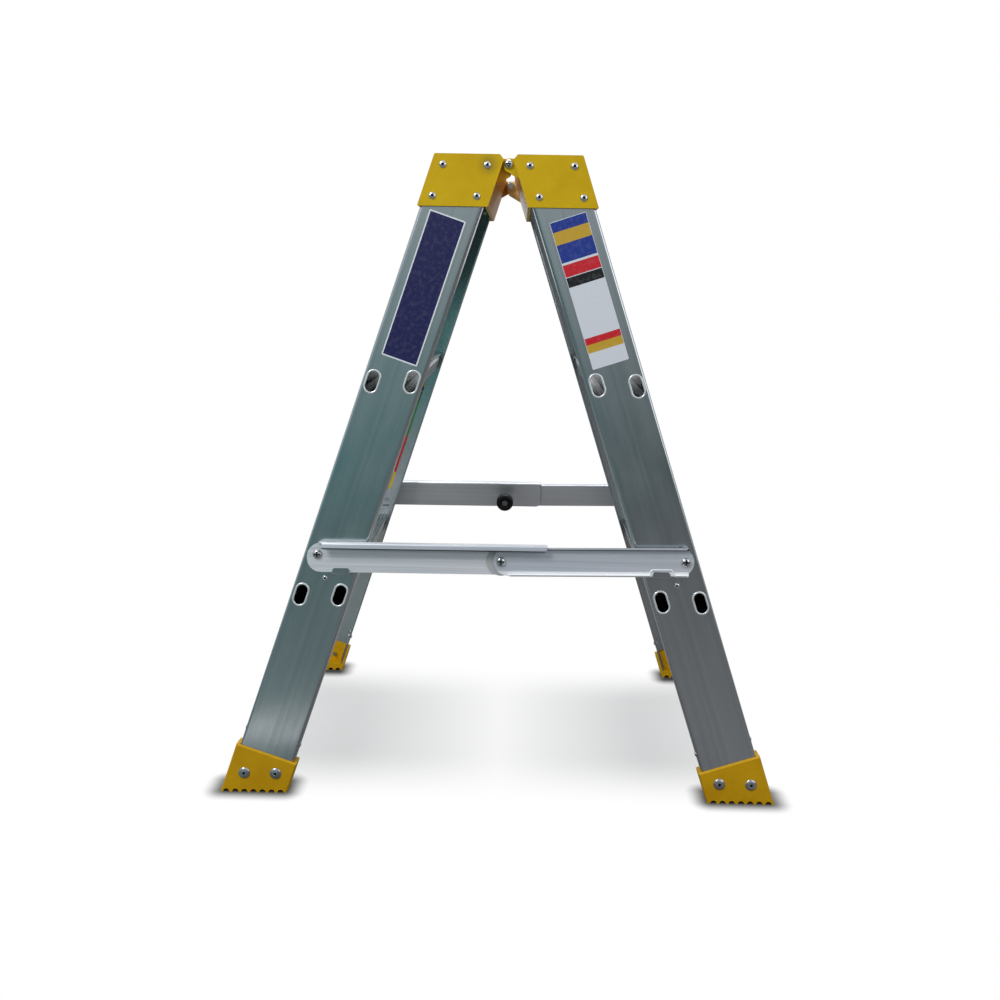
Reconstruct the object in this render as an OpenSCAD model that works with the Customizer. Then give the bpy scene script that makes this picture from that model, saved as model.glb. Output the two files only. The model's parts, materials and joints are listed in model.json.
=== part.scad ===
// Folding trestle ladder: two aluminium frames, hinged at the top caps and held open by spreader bars.
// The floor is z = 0, the hinge axis runs along y, and the left frame lies on the -x side.
// Shapes are drawn for the near right corner (x above 0, y below 0) and mirrored to the others.

/* [Frame] */
// Height of the hinge axis above the floor
hinge_height = 839; // [820:1:860]
// Lean of each stile away from upright, seen square to its web
lean = 18.3; // [17:0.1:19.5]
// Inward lean of the webs towards the top
splay = 5.3; // [4.5:0.1:6]
// Width across the outer faces of the webs, at the hinge axis
top_width = 323.4; // [310:0.2:340]
// Distance from the hinge axis to the inner flange of a stile
stile_setback = 14; // [13.5:0.1:16]

/* [Stiles] */
// Width of the web of a stile
web_width = 76.5; // [75:0.5:82]
// Depth of the flanges
flange_depth = 22; // [20:0.5:25]
// Wall of the stile
stile_wall = 2.2; // [1.8:0.1:2.6]
// Outer radius of the stile's corners
stile_corner = 3.4; // [2.8:0.1:4.5]

/* [Treads] */
// Height of the lower tread's tubes
lower_tread = 276; // [260:1:285]
// Rise from the lower tread to the upper one
tread_rise = 285; // [270:1:300]
// Long width of a tread tube
tube_long = 30.6; // [28:0.2:33]
// Short width of a tread tube
tube_short = 17.6; // [16:0.2:19]
// Wall of a tread tube
tube_wall = 1.5; // [1.2:0.1:2]
// Distance between the two tubes of a tread, square to the stile
tube_spacing = 49.4; // [46:0.2:52]
// Width of the flared rim beyond the tube
flare_rim = 1.2; // [0.9:0.1:1.6]
// Thickness of the tread plate
tread_plate = 2.4; // [2:0.1:3]
// Height of the ribs on the tread plate
tread_rib = 1.2; // [0.8:0.1:1.6]
// Distance from rib to rib
tread_rib_pitch = 5.2; // [4.4:0.1:7]

/* [Caps] */
// Height of a cap's top above the hinge axis
cap_rise = 12; // [10:0.5:15]
// Depth of a cap below the hinge axis
cap_drop = 53.4; // [50:0.2:60]
// Distance from the hinge axis to a cap's inner face
cap_gap = 7.7; // [7.2:0.1:9]
// Thickness of a cap's end plates
cap_plate = 3; // [2.4:0.1:3.6]
// Thickness of a cap's top and inner skirt
cap_wall = 3.6; // [3:0.1:4.4]
// Thickness of a cap's outer skirt
cap_skirt = 3.2; // [2.6:0.1:4]
// Radius of a hinge lug
lug_radius = 6.9; // [6.4:0.1:7]
// Thickness of a hinge lug
lug_thickness = 4.5; // [3.5:0.1:5]

/* [Feet] */
// Height of a foot's plates along the stile, from the floor at the stile's middle
foot_height = 57.8; // [54:0.2:62]
// Thickness of a foot's walls
foot_wall = 4.6; // [3.6:0.1:5.4]
// Thickness of a foot's outer and inner plates
foot_plate = 3; // [2.4:0.1:3.6]
// Thickness of the sole
sole = 13; // [11:0.5:16]
// Number of teeth along a sole
teeth = 8; // [6:1:10]
// Depth of the gaps between the teeth
tooth_depth = 4.6; // [3.6:0.1:5]

/* [Spreaders] */
// Clear height from the lower tread to the rivets under the bars
tread_clear = 6.4; // [5.4:0.1:8]
// Distance of the bars' pivots from the stile's outer edge
pivot_inset = 17.9; // [16:0.1:20]
// Clear distance from the webs to the left bars
bar_standoff = 3.4; // [3:0.1:4.4]
// Drop of the middle pivot below the stile pivots
over_centre = 4.1; // [3:0.1:5]
// Height of a left bar
left_bar_height = 41.4; // [40.4:0.2:43]
// Height of a right bar
right_bar_height = 38; // [36:0.2:38.4]
// Thickness of the bars
bar_wall = 1.8; // [1.5:0.1:2]
// Depth of a left bar's top flange
left_bar_flange = 14; // [13.4:0.2:16]
// Depth of a right bar's flanges
right_bar_flange = 7.5; // [6:0.1:8]
// Height of a left bar's lip
lip_height = 8.6; // [6:0.2:10]
// Run of a left bar past the middle pivot
lip_overrun = 61; // [50:1:70]
// Diameter of a knob
knob_d = 28; // [24:0.5:30]
// Length of a knob's stem
stem_length = 28; // [27:0.5:34]

/* [Fasteners] */
// Diameter of the hinge bolts
hinge_bolt_d = 6; // [5:0.1:6.5]
// Diameter of the heads of the hinge bolts
hinge_head_d = 11.6; // [10:0.1:12.5]
// Diameter of the pivot screws
pivot_screw_d = 6; // [5:0.1:7]
// Diameter of the heads of the pivot screws
pivot_head_d = 13; // [11:0.1:14]
// Diameter of the heads of the cap rivets
cap_rivet_d = 9.7; // [8:0.1:11]
// Diameter of the heads of the foot rivets
foot_rivet_d = 16; // [13:0.1:17]
// Diameter of the heads of the small rivets
small_rivet_d = 7.4; // [6:0.1:8]

/* [Hidden] */
$fn = 40;
half_turn = 180;
full_turn = 360;
quarter_turn = 90;

// Clearances: beside a fixed piece, round a turning pin, and the overrun of every cut
fit_gap = 0.3;
running_gap = 0.05;
overrun = 1;
reach = hinge_height;

// Directions and places on a web: across is measured from the hinge axis, square to the stile
upright_lean = atan(tan(lean) / cos(splay));
stile_middle = stile_setback + web_width / 2;
stile_outer = stile_setback + web_width;
function web_v(height) = (height - hinge_height) / cos(splay);
function web_x(across, height) = across / cos(lean) - web_v(height) * tan(lean);
function side_x(across, height) = across / cos(upright_lean) - (height - hinge_height) * tan(upright_lean);

// Treads
upper_tread = lower_tread + tread_rise;
flare_long = tube_long + 2 * flare_rim;
flare_short = tube_short + 2 * flare_rim;
flare_bead = (flare_rim + tube_wall) / 2;
tube_top = (tube_long - tube_short) / 2 * cos(upright_lean) + tube_short / 2;
tread_half = (tube_spacing + tube_short) / 2 / cos(upright_lean);
tread_rib_width = 2.2;
tread_lift = 0.4;
tread_top = tube_top + tread_lift;
tread_shift = (tread_top - tread_plate / 2) * tan(upright_lean);
tread_edge = 1.1;
tread_ribs = floor(2 * (tread_half - tread_rib_width) / tread_rib_pitch);

// Stiles
stile_head = hinge_height + cap_rise - cap_wall - fit_gap;
flange_tip = 0.6;
flange_rivet_rise = 22;
tab_width = 25.5;
tab_top_width = 20;
tab_wall = 2.2;
tab_hook = 7.8;
tab_corner = 2;
tab_run = 32;
tab_clear = 1.8;
right_tab_clear = 1;
tab_below = 1.6;
tab_window = 15;
tab_bend_in = 0.8;
tab_bend_out = 2.8;
tab_rivet_inset = 37.3;
tab_rivet_drop = 33;

// Caps
cap_margin = cap_skirt + fit_gap;
cap_outer = stile_outer + cap_margin;
cap_chamfer_run = 7.2;
cap_chamfer_drop = 6.4;
cap_corner_share = 0.85;
cap_corner = (stile_setback - cap_gap - cap_wall) * cap_corner_share;
cap_edge = 2.4;
cap_low_edge = 1;
groove_count = 8;
groove_width = 3.6;
groove_depth = 1;
groove_margin = 14;
groove_end = 13;
cap_rivet_edge = 11.2;
cap_rivet_top = 2;
cap_rivet_row = 38.8;
lug_slope = 29;
lug_root = 30;
lug_corner = 2;
outer_lug_drop = 9;
inner_lug_drop = 14;
lug_outer_y = top_width / 2;
lug_inner_y = lug_outer_y - lug_thickness - fit_gap;
hinge_stack = lug_outer_y - lug_inner_y + lug_thickness;

// Feet
foot_edge = 2;
foot_chamfer = 2;
foot_rivet_half = 20.4;
foot_rivet_height = 27.3;
foot_across_low = stile_setback - fit_gap - foot_wall;
foot_across_high = stile_outer + fit_gap + foot_wall;
foot_left = side_x(foot_across_low, 0);
foot_right = side_x(foot_across_high, 0);
foot_top_y = (web_v(0) - stile_middle * sin(lean)) / cos(lean) + foot_height;
foot_side_gap = 1.4;
tooth_gap_share = 0.72;
tooth_pitch = (foot_right - foot_left) / (teeth - tooth_gap_share);
tooth_gap = tooth_pitch * tooth_gap_share;
tooth_r = (tooth_depth + tooth_gap * tooth_gap / 4 / tooth_depth) / 2;

// Spreaders: n is measured outward from the web's outer face
pivot_height = lower_tread + tread_top + tread_rib + tread_clear + tab_rivet_drop;
pivot_across = stile_outer - pivot_inset;
pivot_x = web_x(pivot_across, pivot_height);
pivot_v = web_v(pivot_height);
mid_v = pivot_v - over_centre;
bar_length = norm([pivot_x, over_centre]);
bar_tilt = atan(over_centre / pivot_x);
left_edge_tilt = 0.35;
slide_gap = 0.15;
left_bar_n = bar_standoff;
washer_wall = 1.2;
right_bar_n = left_bar_n + bar_wall + washer_wall + slide_gap;
tab_x = pivot_x - tab_run;
lip_clear = 2.2;
left_bar_top = right_bar_height / 2 + lip_clear + bar_wall;
left_bar_low = left_bar_top - left_bar_height;
left_pivot_rise = bar_length * sin(bar_tilt + left_edge_tilt);
left_pivot_run = bar_length * cos(bar_tilt + left_edge_tilt);
left_bar_edge_v = mid_v - tab_x * tan(left_edge_tilt) + left_bar_low / cos(left_edge_tilt);
right_bar_edge_v = mid_v + tab_x * tan(bar_tilt) - right_bar_height / 2 / cos(bar_tilt);
left_tab_out = left_bar_n + bar_wall + tab_clear + tab_wall;
right_tab_out = right_bar_n + bar_wall + right_tab_clear + tab_wall;
left_end_run = 14;
left_end_corner = 8;
left_flange_start = 2;
flange_cut = 7;
bend_radius = 2.6;
right_end_set = 8;
right_start_set = 9;
notch_margin = 1.8;
notch_pivot_margin = 5;
right_flange_run = 4;
right_flange_corner = 5;
lip_corner = 4;
disc_rim = 1;
disc_d = right_bar_height + disc_rim;
spacer_d = 20;
stem_d = 10;
stem_thread_d = 6;
knob_depth = 16;
knob_edge = 4;
knob_socket_d = 13;
knob_socket = 2.5;
knob_insert_d = 10;

// Fasteners
hinge_head_height = 4;
pivot_head_height = 4.2;
recess_share = 0.62;
recess_width_share = 0.17;
recess_depth_share = 0.55;
washer_d = 12;
hinge_washer_wall = 1.2;
nut_across = 10;
nut_height = 5;
nut_sides = 6;
bolt_tail = 1.5;
dome_steps = 6;
corner_steps = 5;
bar_end_steps = 8;
lug_steps = 12;
rivet_tail_share = 1.35;
rivet_tail_length_share = 0.9;
rivet_hole_share = 0.72;
rivet_dome_share = 0.24;
cap_rivet_body = 4.8;
foot_rivet_body = 5.2;
foot_rivet_dome_share = 0.17;
small_rivet_body = 3.6;

aluminium = "#8f9a99";
bright = "#c3c6c8";
yellow = "#c39a1c";
black = "#1c1c1e";
nylon = "#d8d6cc";

// Rounded outlines

function unit(v) = v / norm(v);

// Points of one rounded corner b, between its neighbours a and c
function corner(a, b, c, r, steps) =
    let (
        u = unit(a - b),
        w = unit(c - b),
        half = acos(u * w) / 2,
        centre = b + unit(u + w) * r / sin(half),
        p = b + u * r / tan(half) - centre,
        q = b + w * r / tan(half) - centre,
        from = atan2(p.y, p.x),
        turn = (atan2(q.y, q.x) - from + full_turn + half_turn) % full_turn - half_turn
    )
    r == 0 ? [b] :
    [for (i = [0 : steps]) centre + r * [cos(from + turn * i / steps), sin(from + turn * i / steps)]];

function rounded(points, radii, steps = corner_steps) =
    let (count = len(points))
    [for (i = [0 : count - 1])
        each corner(points[(i + count - 1) % count], points[i], points[(i + 1) % count], radii[i], steps)];

// Places

module left_side() mirror([1, 0, 0]) children();

module far_side() mirror([0, 1, 0]) children();

// The near web: x along the row, y up the web from the hinge's level, z outward from its outer face
module near_web() translate([0, -top_width / 2, hinge_height]) rotate([quarter_turn - splay, 0, 0]) children();

// The near right stile: x across it from the hinge axis, y up along it, z outward
module stile_frame() near_web() rotate([0, 0, lean]) children();

module at_web(across, height)
    near_web() translate([web_x(across, height), web_v(height), 0]) rotate([0, 0, lean]) children();

// A flat outline in x and z, pushed along y between two depths
module through_depth(from, to)
    translate([0, to, 0]) rotate([quarter_turn, 0, 0]) linear_extrude(to - from) children();

// The space between the two webs, moved outward by a distance
module between_webs(out) {
    low = top_width / 2 + hinge_height * tan(splay) + out / cos(splay);
    high = top_width / 2 - reach * tan(splay) + out / cos(splay);
    rotate([quarter_turn, 0, quarter_turn]) linear_extrude(2 * reach, center = true)
        polygon([[-low, 0], [low, 0], [high, hinge_height + reach], [-high, hinge_height + reach]]);
}

module above(height) translate([-reach, -reach, height]) cube(2 * reach);

module stadium(long, short) {
    square([short, long - short], center = true);
    for (end = [-1, 1]) translate([0, end * (long - short) / 2]) circle(d = short);
}

// Fasteners, all along z with the seat at z = 0

function dome(r, h) =
    let (step = quarter_turn / dome_steps)
    [for (i = [0 : dome_steps]) [r * cos(step * i), h * sin(step * i)]];

module blind_rivet(head_d, body_d, dome_share, grip) {
    head_h = head_d * dome_share;
    tail_r = body_d * rivet_tail_share / 2;
    tail_low = -grip - body_d * rivet_tail_length_share;
    difference() {
        rotate_extrude() polygon(concat(
            [[0, tail_low], [body_d / 2, tail_low], [tail_r, (tail_low - grip) / 2], [tail_r, -grip]],
            [[body_d / 2, -grip], [body_d / 2, 0]],
            dome(head_d / 2, head_h)
        ));
        cylinder(d = body_d * rivet_hole_share, h = head_h + overrun);
    }
}

module rivet_hole(body_d, depth) translate([0, 0, -depth]) cylinder(d = body_d + fit_gap, h = 2 * depth);

module pan_screw(head_d, head_h, body_d, length) {
    recess = head_d * recess_share;
    recess_width = head_d * recess_width_share;
    difference() {
        rotate_extrude() polygon(concat(
            [[0, -length], [body_d / 2, -length], [body_d / 2, 0]],
            dome(head_d / 2, head_h)
        ));
        for (turn = [0, quarter_turn]) rotate(turn) {
            translate([-recess / 2, -recess_width / 2, head_h * (1 - recess_depth_share)])
                cube([recess, recess_width, head_h]);
        }
    }
}

module hex_nut(across, height, bore_d) {
    difference() {
        cylinder(d = across / cos(half_turn / nut_sides), h = height, $fn = nut_sides);
        translate([0, 0, -overrun]) cylinder(d = bore_d, h = height + 2 * overrun);
    }
}

module ring(outer_d, inner_d, height) {
    difference() {
        cylinder(d = outer_d, h = height);
        translate([0, 0, -overrun]) cylinder(d = inner_d, h = height + 2 * overrun);
    }
}

// Stiles

module stile_section() {
    inner = stile_corner - stile_wall;
    polygon(rounded(
        [[0, -flange_depth], [stile_wall, -flange_depth], [stile_wall, -stile_wall],
         [web_width - stile_wall, -stile_wall], [web_width - stile_wall, -flange_depth],
         [web_width, -flange_depth], [web_width, 0], [0, 0]],
        [flange_tip, flange_tip, inner, inner, flange_tip, flange_tip, stile_corner, stile_corner]
    ));
}

// A hook tab, pressed out of the web and turned up in front of a bar's bottom edge
module hook_tab(edge_v, out) {
    near_web() translate([tab_x, edge_v - tab_below, 0]) intersection() {
        rotate([quarter_turn, 0, quarter_turn]) linear_extrude(tab_width, center = true) polygon(rounded(
            [[-tab_wall, -stile_wall / 2], [0, -stile_wall / 2], [0, out - tab_wall],
             [tab_hook, out - tab_wall], [tab_hook, out], [-tab_wall, out]],
            [0, 0, tab_bend_in, 0, 0, tab_bend_out]
        ));
        translate([0, 0, -stile_wall - overrun]) linear_extrude(out + stile_wall + 2 * overrun) polygon(rounded(
            [[-tab_width / 2, -tab_wall - overrun], [tab_width / 2, -tab_wall - overrun], [tab_width / 2, 0],
             [tab_top_width / 2, tab_hook], [-tab_top_width / 2, tab_hook], [-tab_width / 2, 0]],
            [0, 0, 0, tab_corner, tab_corner, 0]
        ));
    }
}

module tab_window(edge_v) {
    near_web() translate([tab_x - tab_width / 2 - fit_gap, edge_v - tab_below + fit_gap, -stile_wall - overrun])
        cube([tab_width + 2 * fit_gap, tab_window, stile_wall + 2 * overrun]);
}

module tube_slots(height, grow) {
    for (side = [-1, 1]) {
        translate([side_x(stile_middle + side * tube_spacing / 2, height), 0, height])
            rotate([quarter_turn, 0, 0]) linear_extrude(reach)
            rotate(upright_lean) stadium(tube_long + grow, tube_short + grow);
    }
}

module at_cap_rivets() {
    for (side = [-1, 1], row = [0, 1]) {
        across = stile_middle + side * (web_width / 2 - cap_rivet_edge);
        at_web(across, hinge_height - cap_rivet_top - row * cap_rivet_row) children();
    }
}

module at_foot_rivets() {
    for (side = [-1, 1]) at_web(stile_middle + side * foot_rivet_half, foot_rivet_height) children();
}

module at_flange_rivets() {
    for (side = [-1, 1]) {
        across = stile_middle + side * web_width / 2;
        stile_frame() translate([across, foot_top_y + flange_rivet_rise, -flange_depth / 2])
            rotate([0, side * quarter_turn, 0]) children();
    }
}

module at_tab_rivet() at_web(stile_outer - tab_rivet_inset, pivot_height - tab_rivet_drop) children();

module at_pivot() near_web() translate([pivot_x, pivot_v, 0]) children();

module at_mid() near_web() translate([0, mid_v, 0]) children();

module stile(edge_v, out) {
    color(aluminium) difference() {
        union() {
            intersection() {
                stile_frame() translate([stile_setback, cap_rise + cap_drop, 0]) rotate([quarter_turn, 0, 0])
                    linear_extrude(hinge_height + 4 * cap_drop) stile_section();
                translate([-reach, -reach, sole]) cube([2 * reach, 2 * reach, stile_head - sole]);
            }
            hook_tab(edge_v, out);
        }
        tab_window(edge_v);
        tube_slots(lower_tread, fit_gap);
        tube_slots(upper_tread, fit_gap);
        at_cap_rivets() rivet_hole(cap_rivet_body, stile_corner);
        at_foot_rivets() rivet_hole(foot_rivet_body, stile_corner);
        at_flange_rivets() rivet_hole(small_rivet_body, stile_corner);
        at_tab_rivet() rivet_hole(small_rivet_body, stile_corner);
        at_pivot() rivet_hole(pivot_screw_d, stile_corner);
    }
}

module left_near_stile() left_side() stile(left_bar_edge_v, left_tab_out);

module left_far_stile() far_side() left_near_stile();

module right_near_stile() stile(right_bar_edge_v, right_tab_out);

module right_far_stile() far_side() right_near_stile();

// Treads

module flare_profile() {
    translate([flare_short / 2 - flare_bead, 0]) intersection() {
        circle(flare_bead);
        translate([-flare_bead, 0]) square(2 * flare_bead);
    }
}

// The rolled rim of a tube's end, standing on a web
module flare() {
    run = flare_long - flare_short;
    for (turn = [0, half_turn]) rotate(turn) {
        translate([0, run / 2, 0]) rotate_extrude(angle = half_turn) flare_profile();
        rotate([quarter_turn, 0, 0]) linear_extrude(run, center = true) flare_profile();
    }
}

module tread_outline() {
    for (side = [-1, 1]) {
        translate([side * tube_spacing / 2 / cos(upright_lean), 0]) rotate(upright_lean)
            stadium(tube_long, tube_short);
    }
}

module tread_plate_outline() {
    polygon(rounded(
        [[-tread_half, tread_top - tread_plate], [tread_half, tread_top - tread_plate],
         [tread_half, tread_top], [-tread_half, tread_top]],
        [tread_edge, tread_edge, tread_edge, tread_edge]
    ));
    for (i = [0 : tread_ribs]) {
        translate([(i - tread_ribs / 2) * tread_rib_pitch - tread_rib_width / 2, tread_top - tread_plate / 2])
            square([tread_rib_width, tread_plate / 2 + tread_rib]);
    }
}

module tread(height) {
    middle = [side_x(stile_middle, height), 0, height];
    color(aluminium) difference() {
        union() {
            intersection() {
                translate(middle) through_depth(-reach, reach) tread_outline();
                between_webs(flare_bead / 2);
            }
            intersection() {
                translate(middle - [tread_shift, 0, 0]) through_depth(-reach, reach) tread_plate_outline();
                between_webs(-stile_wall - fit_gap);
            }
            for (side = [-1, 1]) {
                at_web(stile_middle + side * tube_spacing / 2, height) flare();
                far_side() at_web(stile_middle + side * tube_spacing / 2, height) flare();
            }
        }
        tube_slots(height, -2 * tube_wall);
        far_side() tube_slots(height, -2 * tube_wall);
    }
}

module left_upper_tread() left_side() tread(upper_tread);

module left_lower_tread() left_side() tread(lower_tread);

module right_upper_tread() tread(upper_tread);

module right_lower_tread() tread(lower_tread);

// Caps

function cap_x(across, rise) = across / cos(upright_lean) - rise * tan(upright_lean);

module cap_outline() {
    low = -cap_drop;
    polygon(rounded(
        [[cap_x(cap_gap, low), low], [cap_x(cap_outer, low), low], [cap_x(cap_outer, cap_rise), cap_rise],
         [cap_x(cap_gap, cap_rise) + cap_chamfer_run, cap_rise],
         [cap_x(cap_gap, cap_rise - cap_chamfer_drop), cap_rise - cap_chamfer_drop]],
        [cap_low_edge, cap_low_edge, cap_edge, cap_low_edge, cap_low_edge]
    ));
}

module cap_cavity_outline() {
    low = -cap_drop - overrun;
    high = cap_rise - cap_wall;
    polygon([
        [cap_x(cap_gap + cap_wall, low), low], [cap_x(cap_outer - cap_skirt, low), low],
        [cap_x(cap_outer - cap_skirt, high), high],
        [cap_x(cap_gap + cap_wall, high) + cap_corner, high],
        [cap_x(cap_gap + cap_wall, high - cap_corner), high - cap_corner]
    ]);
}

// A lug: round about the hinge axis, cut back where the other cap closes, and widening towards its cap
module lug_outline(drop) {
    turn = upright_lean;
    low_y = -(drop * cos(turn) - lug_radius * sin(lug_slope)) / cos(lug_slope + turn);
    polygon(rounded(
        [[lug_root, lug_radius], [-lug_radius * (1 + sin(turn)) / cos(turn), lug_radius],
         [-(lug_radius + low_y * sin(turn)) / cos(turn), low_y],
         [lug_root, -(drop + lug_root * sin(lug_slope)) / cos(lug_slope)]],
        [0, lug_radius, lug_corner, 0], lug_steps
    ));
}

module right_cap() {
    groove_run = cap_x(cap_outer, cap_rise) - cap_x(cap_gap, cap_rise) - 2 * groove_margin;
    groove_half = top_width / 2 - groove_end;
    color(yellow) difference() {
        union() {
            intersection() {
                translate([0, 0, hinge_height]) through_depth(-reach, reach) cap_outline();
                between_webs(cap_plate);
            }
            translate([0, 0, hinge_height]) through_depth(-lug_outer_y, lug_thickness - lug_outer_y)
                lug_outline(outer_lug_drop);
            translate([0, 0, hinge_height]) through_depth(lug_inner_y - lug_thickness, lug_inner_y)
                lug_outline(inner_lug_drop);
        }
        intersection() {
            translate([0, 0, hinge_height]) through_depth(-reach, reach) cap_cavity_outline();
            between_webs(0);
        }
        for (i = [0 : groove_count - 1]) {
            start = cap_x(cap_gap, cap_rise) + groove_margin + groove_run * i / (groove_count - 1);
            translate([start - groove_width / 2, -groove_half, hinge_height + cap_rise - groove_depth])
                cube([groove_width, 2 * groove_half, groove_depth + overrun]);
        }
        translate([0, 0, hinge_height]) through_depth(-reach, reach) circle(d = hinge_bolt_d + 2 * running_gap);
        at_cap_rivets() rivet_hole(cap_rivet_body, 2 * cap_plate);
        far_side() at_cap_rivets() rivet_hole(cap_rivet_body, 2 * cap_plate);
    }
}

module left_cap() rotate(half_turn) right_cap();

// Feet

module foot() {
    width = foot_across_high - foot_across_low;
    inner_width = web_width - 2 * stile_wall - 2 * foot_side_gap;
    color(yellow) difference() {
        union() {
            difference() {
                intersection() {
                    stile_frame() translate([0, foot_top_y, 0]) rotate([quarter_turn, 0, 0])
                        linear_extrude(2 * foot_height)
                        polygon(rounded(
                            [[foot_across_low, -flange_depth], [foot_across_high, -flange_depth],
                             [foot_across_high, foot_plate], [foot_across_low, foot_plate]],
                            [foot_edge, foot_edge, foot_edge, foot_edge]
                        ));
                    above(0);
                }
                intersection() {
                    stile_frame()
                        translate([stile_setback - fit_gap, foot_top_y - 2 * foot_height, -2 * flange_depth])
                        cube([web_width + 2 * fit_gap, 3 * foot_height, 2 * flange_depth]);
                    above(sole);
                }
            }
            intersection() {
                stile_frame()
                    translate([stile_middle - inner_width / 2, foot_top_y - 2 * foot_height,
                               -stile_wall - fit_gap - foot_plate])
                    cube([inner_width, 2 * foot_height, foot_plate]);
                above(sole / 2);
            }
        }
        for (i = [0 : teeth - 2]) {
            translate([foot_left + tooth_pitch * (i + 1) - tooth_gap / 2, 0, tooth_depth - tooth_r])
                through_depth(-reach, 0) circle(tooth_r);
        }
        at_foot_rivets() rivet_hole(foot_rivet_body, 4 * foot_plate);
        stile_frame() translate([foot_across_low - overrun, foot_top_y - foot_chamfer, foot_plate])
            rotate([-quarter_turn / 2, 0, 0]) translate([0, -foot_plate, 0])
            cube([width + 2 * overrun, 4 * foot_plate, 2 * foot_plate]);
    }
}

module left_near_foot() left_side() foot();

module left_far_foot() far_side() left_near_foot();

module right_near_foot() foot();

module right_far_foot() far_side() foot();

// Rivets

module both_ends() {
    children();
    far_side() children();
}

module right_cap_rivets() color(bright) both_ends() at_cap_rivets() translate([0, 0, cap_plate])
    blind_rivet(cap_rivet_d, cap_rivet_body, rivet_dome_share, cap_plate + stile_wall);

module left_cap_rivets() left_side() right_cap_rivets();

module right_foot_rivets() color(bright) both_ends() at_foot_rivets() translate([0, 0, foot_plate])
    blind_rivet(foot_rivet_d, foot_rivet_body, foot_rivet_dome_share, 2 * foot_plate + stile_wall + fit_gap);

module left_foot_rivets() left_side() right_foot_rivets();

module right_flange_rivets() color(bright) both_ends() at_flange_rivets()
    blind_rivet(small_rivet_d, small_rivet_body, rivet_dome_share, stile_wall);

module left_flange_rivets() left_side() right_flange_rivets();

module right_tab_rivets() color(bright) both_ends() at_tab_rivet()
    blind_rivet(small_rivet_d, small_rivet_body, rivet_dome_share, stile_wall);

module left_tab_rivets() left_side() right_tab_rivets();

// Hinge

module at_hinge_bolts() {
    for (turn = [0, half_turn]) {
        rotate(turn) translate([0, 0, hinge_height]) rotate([quarter_turn, 0, 0]) children();
    }
}

module hinge_bolts() color(bright) at_hinge_bolts() translate([0, 0, lug_outer_y + slide_gap])
    pan_screw(hinge_head_d, hinge_head_height, hinge_bolt_d,
        slide_gap + hinge_stack + hinge_washer_wall + nut_height + bolt_tail);

module hinge_washers() color(bright) at_hinge_bolts()
    translate([0, 0, lug_outer_y - hinge_stack - hinge_washer_wall])
    ring(washer_d, hinge_bolt_d + 2 * running_gap, hinge_washer_wall);

module hinge_nuts() color(bright) at_hinge_bolts()
    translate([0, 0, lug_outer_y - hinge_stack - hinge_washer_wall - nut_height])
    hex_nut(nut_across, nut_height, hinge_bolt_d + 2 * running_gap);

// Spreader bars, drawn from the middle pivot

module bar_bore() {
    translate([0, 0, -overrun]) cylinder(d = pivot_screw_d + 2 * running_gap, h = bar_wall + 2 * overrun);
}

module left_bar() {
    low = left_bar_low;
    high = left_bar_top;
    end = -left_pivot_run - left_end_run;
    end_radius = left_bar_height / 2 - bend_radius;
    at_mid() rotate(left_edge_tilt) translate([0, 0, left_bar_n]) difference() {
        union() {
            linear_extrude(bar_wall) polygon(rounded(
                [[end, low], [lip_overrun, low], [lip_overrun, high - bend_radius], [end, high - bend_radius]],
                [end_radius, left_end_corner, 0, end_radius], bar_end_steps
            ));
            intersection() {
                translate([-left_pivot_run + left_flange_start, 0, 0]) rotate([quarter_turn, 0, quarter_turn])
                    linear_extrude(left_pivot_run - left_flange_start + lip_overrun + overrun)
                    polygon(rounded(
                        [[high - 2 * bend_radius, 0], [high, 0], [high, left_bar_flange],
                         [high - lip_height - overrun, left_bar_flange],
                         [high - lip_height - overrun, left_bar_flange - bar_wall],
                         [high - bar_wall, left_bar_flange - bar_wall], [high - bar_wall, bar_wall],
                         [high - 2 * bend_radius, bar_wall]],
                        [0, bend_radius, bend_radius, 0, 0, bend_radius - bar_wall, bend_radius - bar_wall, 0]
                    ));
                rotate([-quarter_turn, 0, 0]) linear_extrude(4 * left_bar_height, center = true) polygon([
                    [-left_pivot_run + left_flange_start - overrun, overrun],
                    [-left_pivot_run + left_flange_start - overrun, -bar_wall],
                    [-left_pivot_run + left_flange_start + flange_cut, -left_bar_flange - overrun],
                    [lip_overrun + 2 * overrun, -left_bar_flange - overrun],
                    [lip_overrun + 2 * overrun, overrun]
                ]);
                linear_extrude(4 * left_bar_flange, center = true) polygon(rounded(
                    [[-left_pivot_run, high - lip_height], [lip_overrun, high - lip_height],
                     [lip_overrun, high + overrun], [-left_pivot_run, high + overrun]],
                    [0, lip_corner, 0, 0]
                ));
            }
        }
        bar_bore();
        translate([-left_pivot_run, left_pivot_rise, 0]) bar_bore();
    }
}

// The upper bent edge of a right bar, with its far corner rounded
module right_bar_edge(start, finish) {
    high = right_bar_height / 2;
    intersection() {
        translate([start - overrun, 0, 0]) rotate([quarter_turn, 0, quarter_turn])
            linear_extrude(finish - start + 2 * overrun)
            polygon(rounded(
                [[high - 2 * bend_radius, 0], [high, 0], [high, right_bar_flange],
                 [high - bar_wall, right_bar_flange], [high - bar_wall, bar_wall],
                 [high - 2 * bend_radius, bar_wall]],
                [0, bend_radius, 0, 0, bend_radius - bar_wall, 0]
            ));
        rotate([-quarter_turn, 0, 0]) linear_extrude(4 * right_bar_height, center = true) polygon(rounded(
            [[start - 2 * overrun, overrun], [start - 2 * overrun, -bar_wall],
             [start + flange_cut / 2, -right_bar_flange], [finish, -right_bar_flange], [finish, overrun]],
            [0, 0, 0, right_flange_corner, 0]
        ));
    }
}

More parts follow.
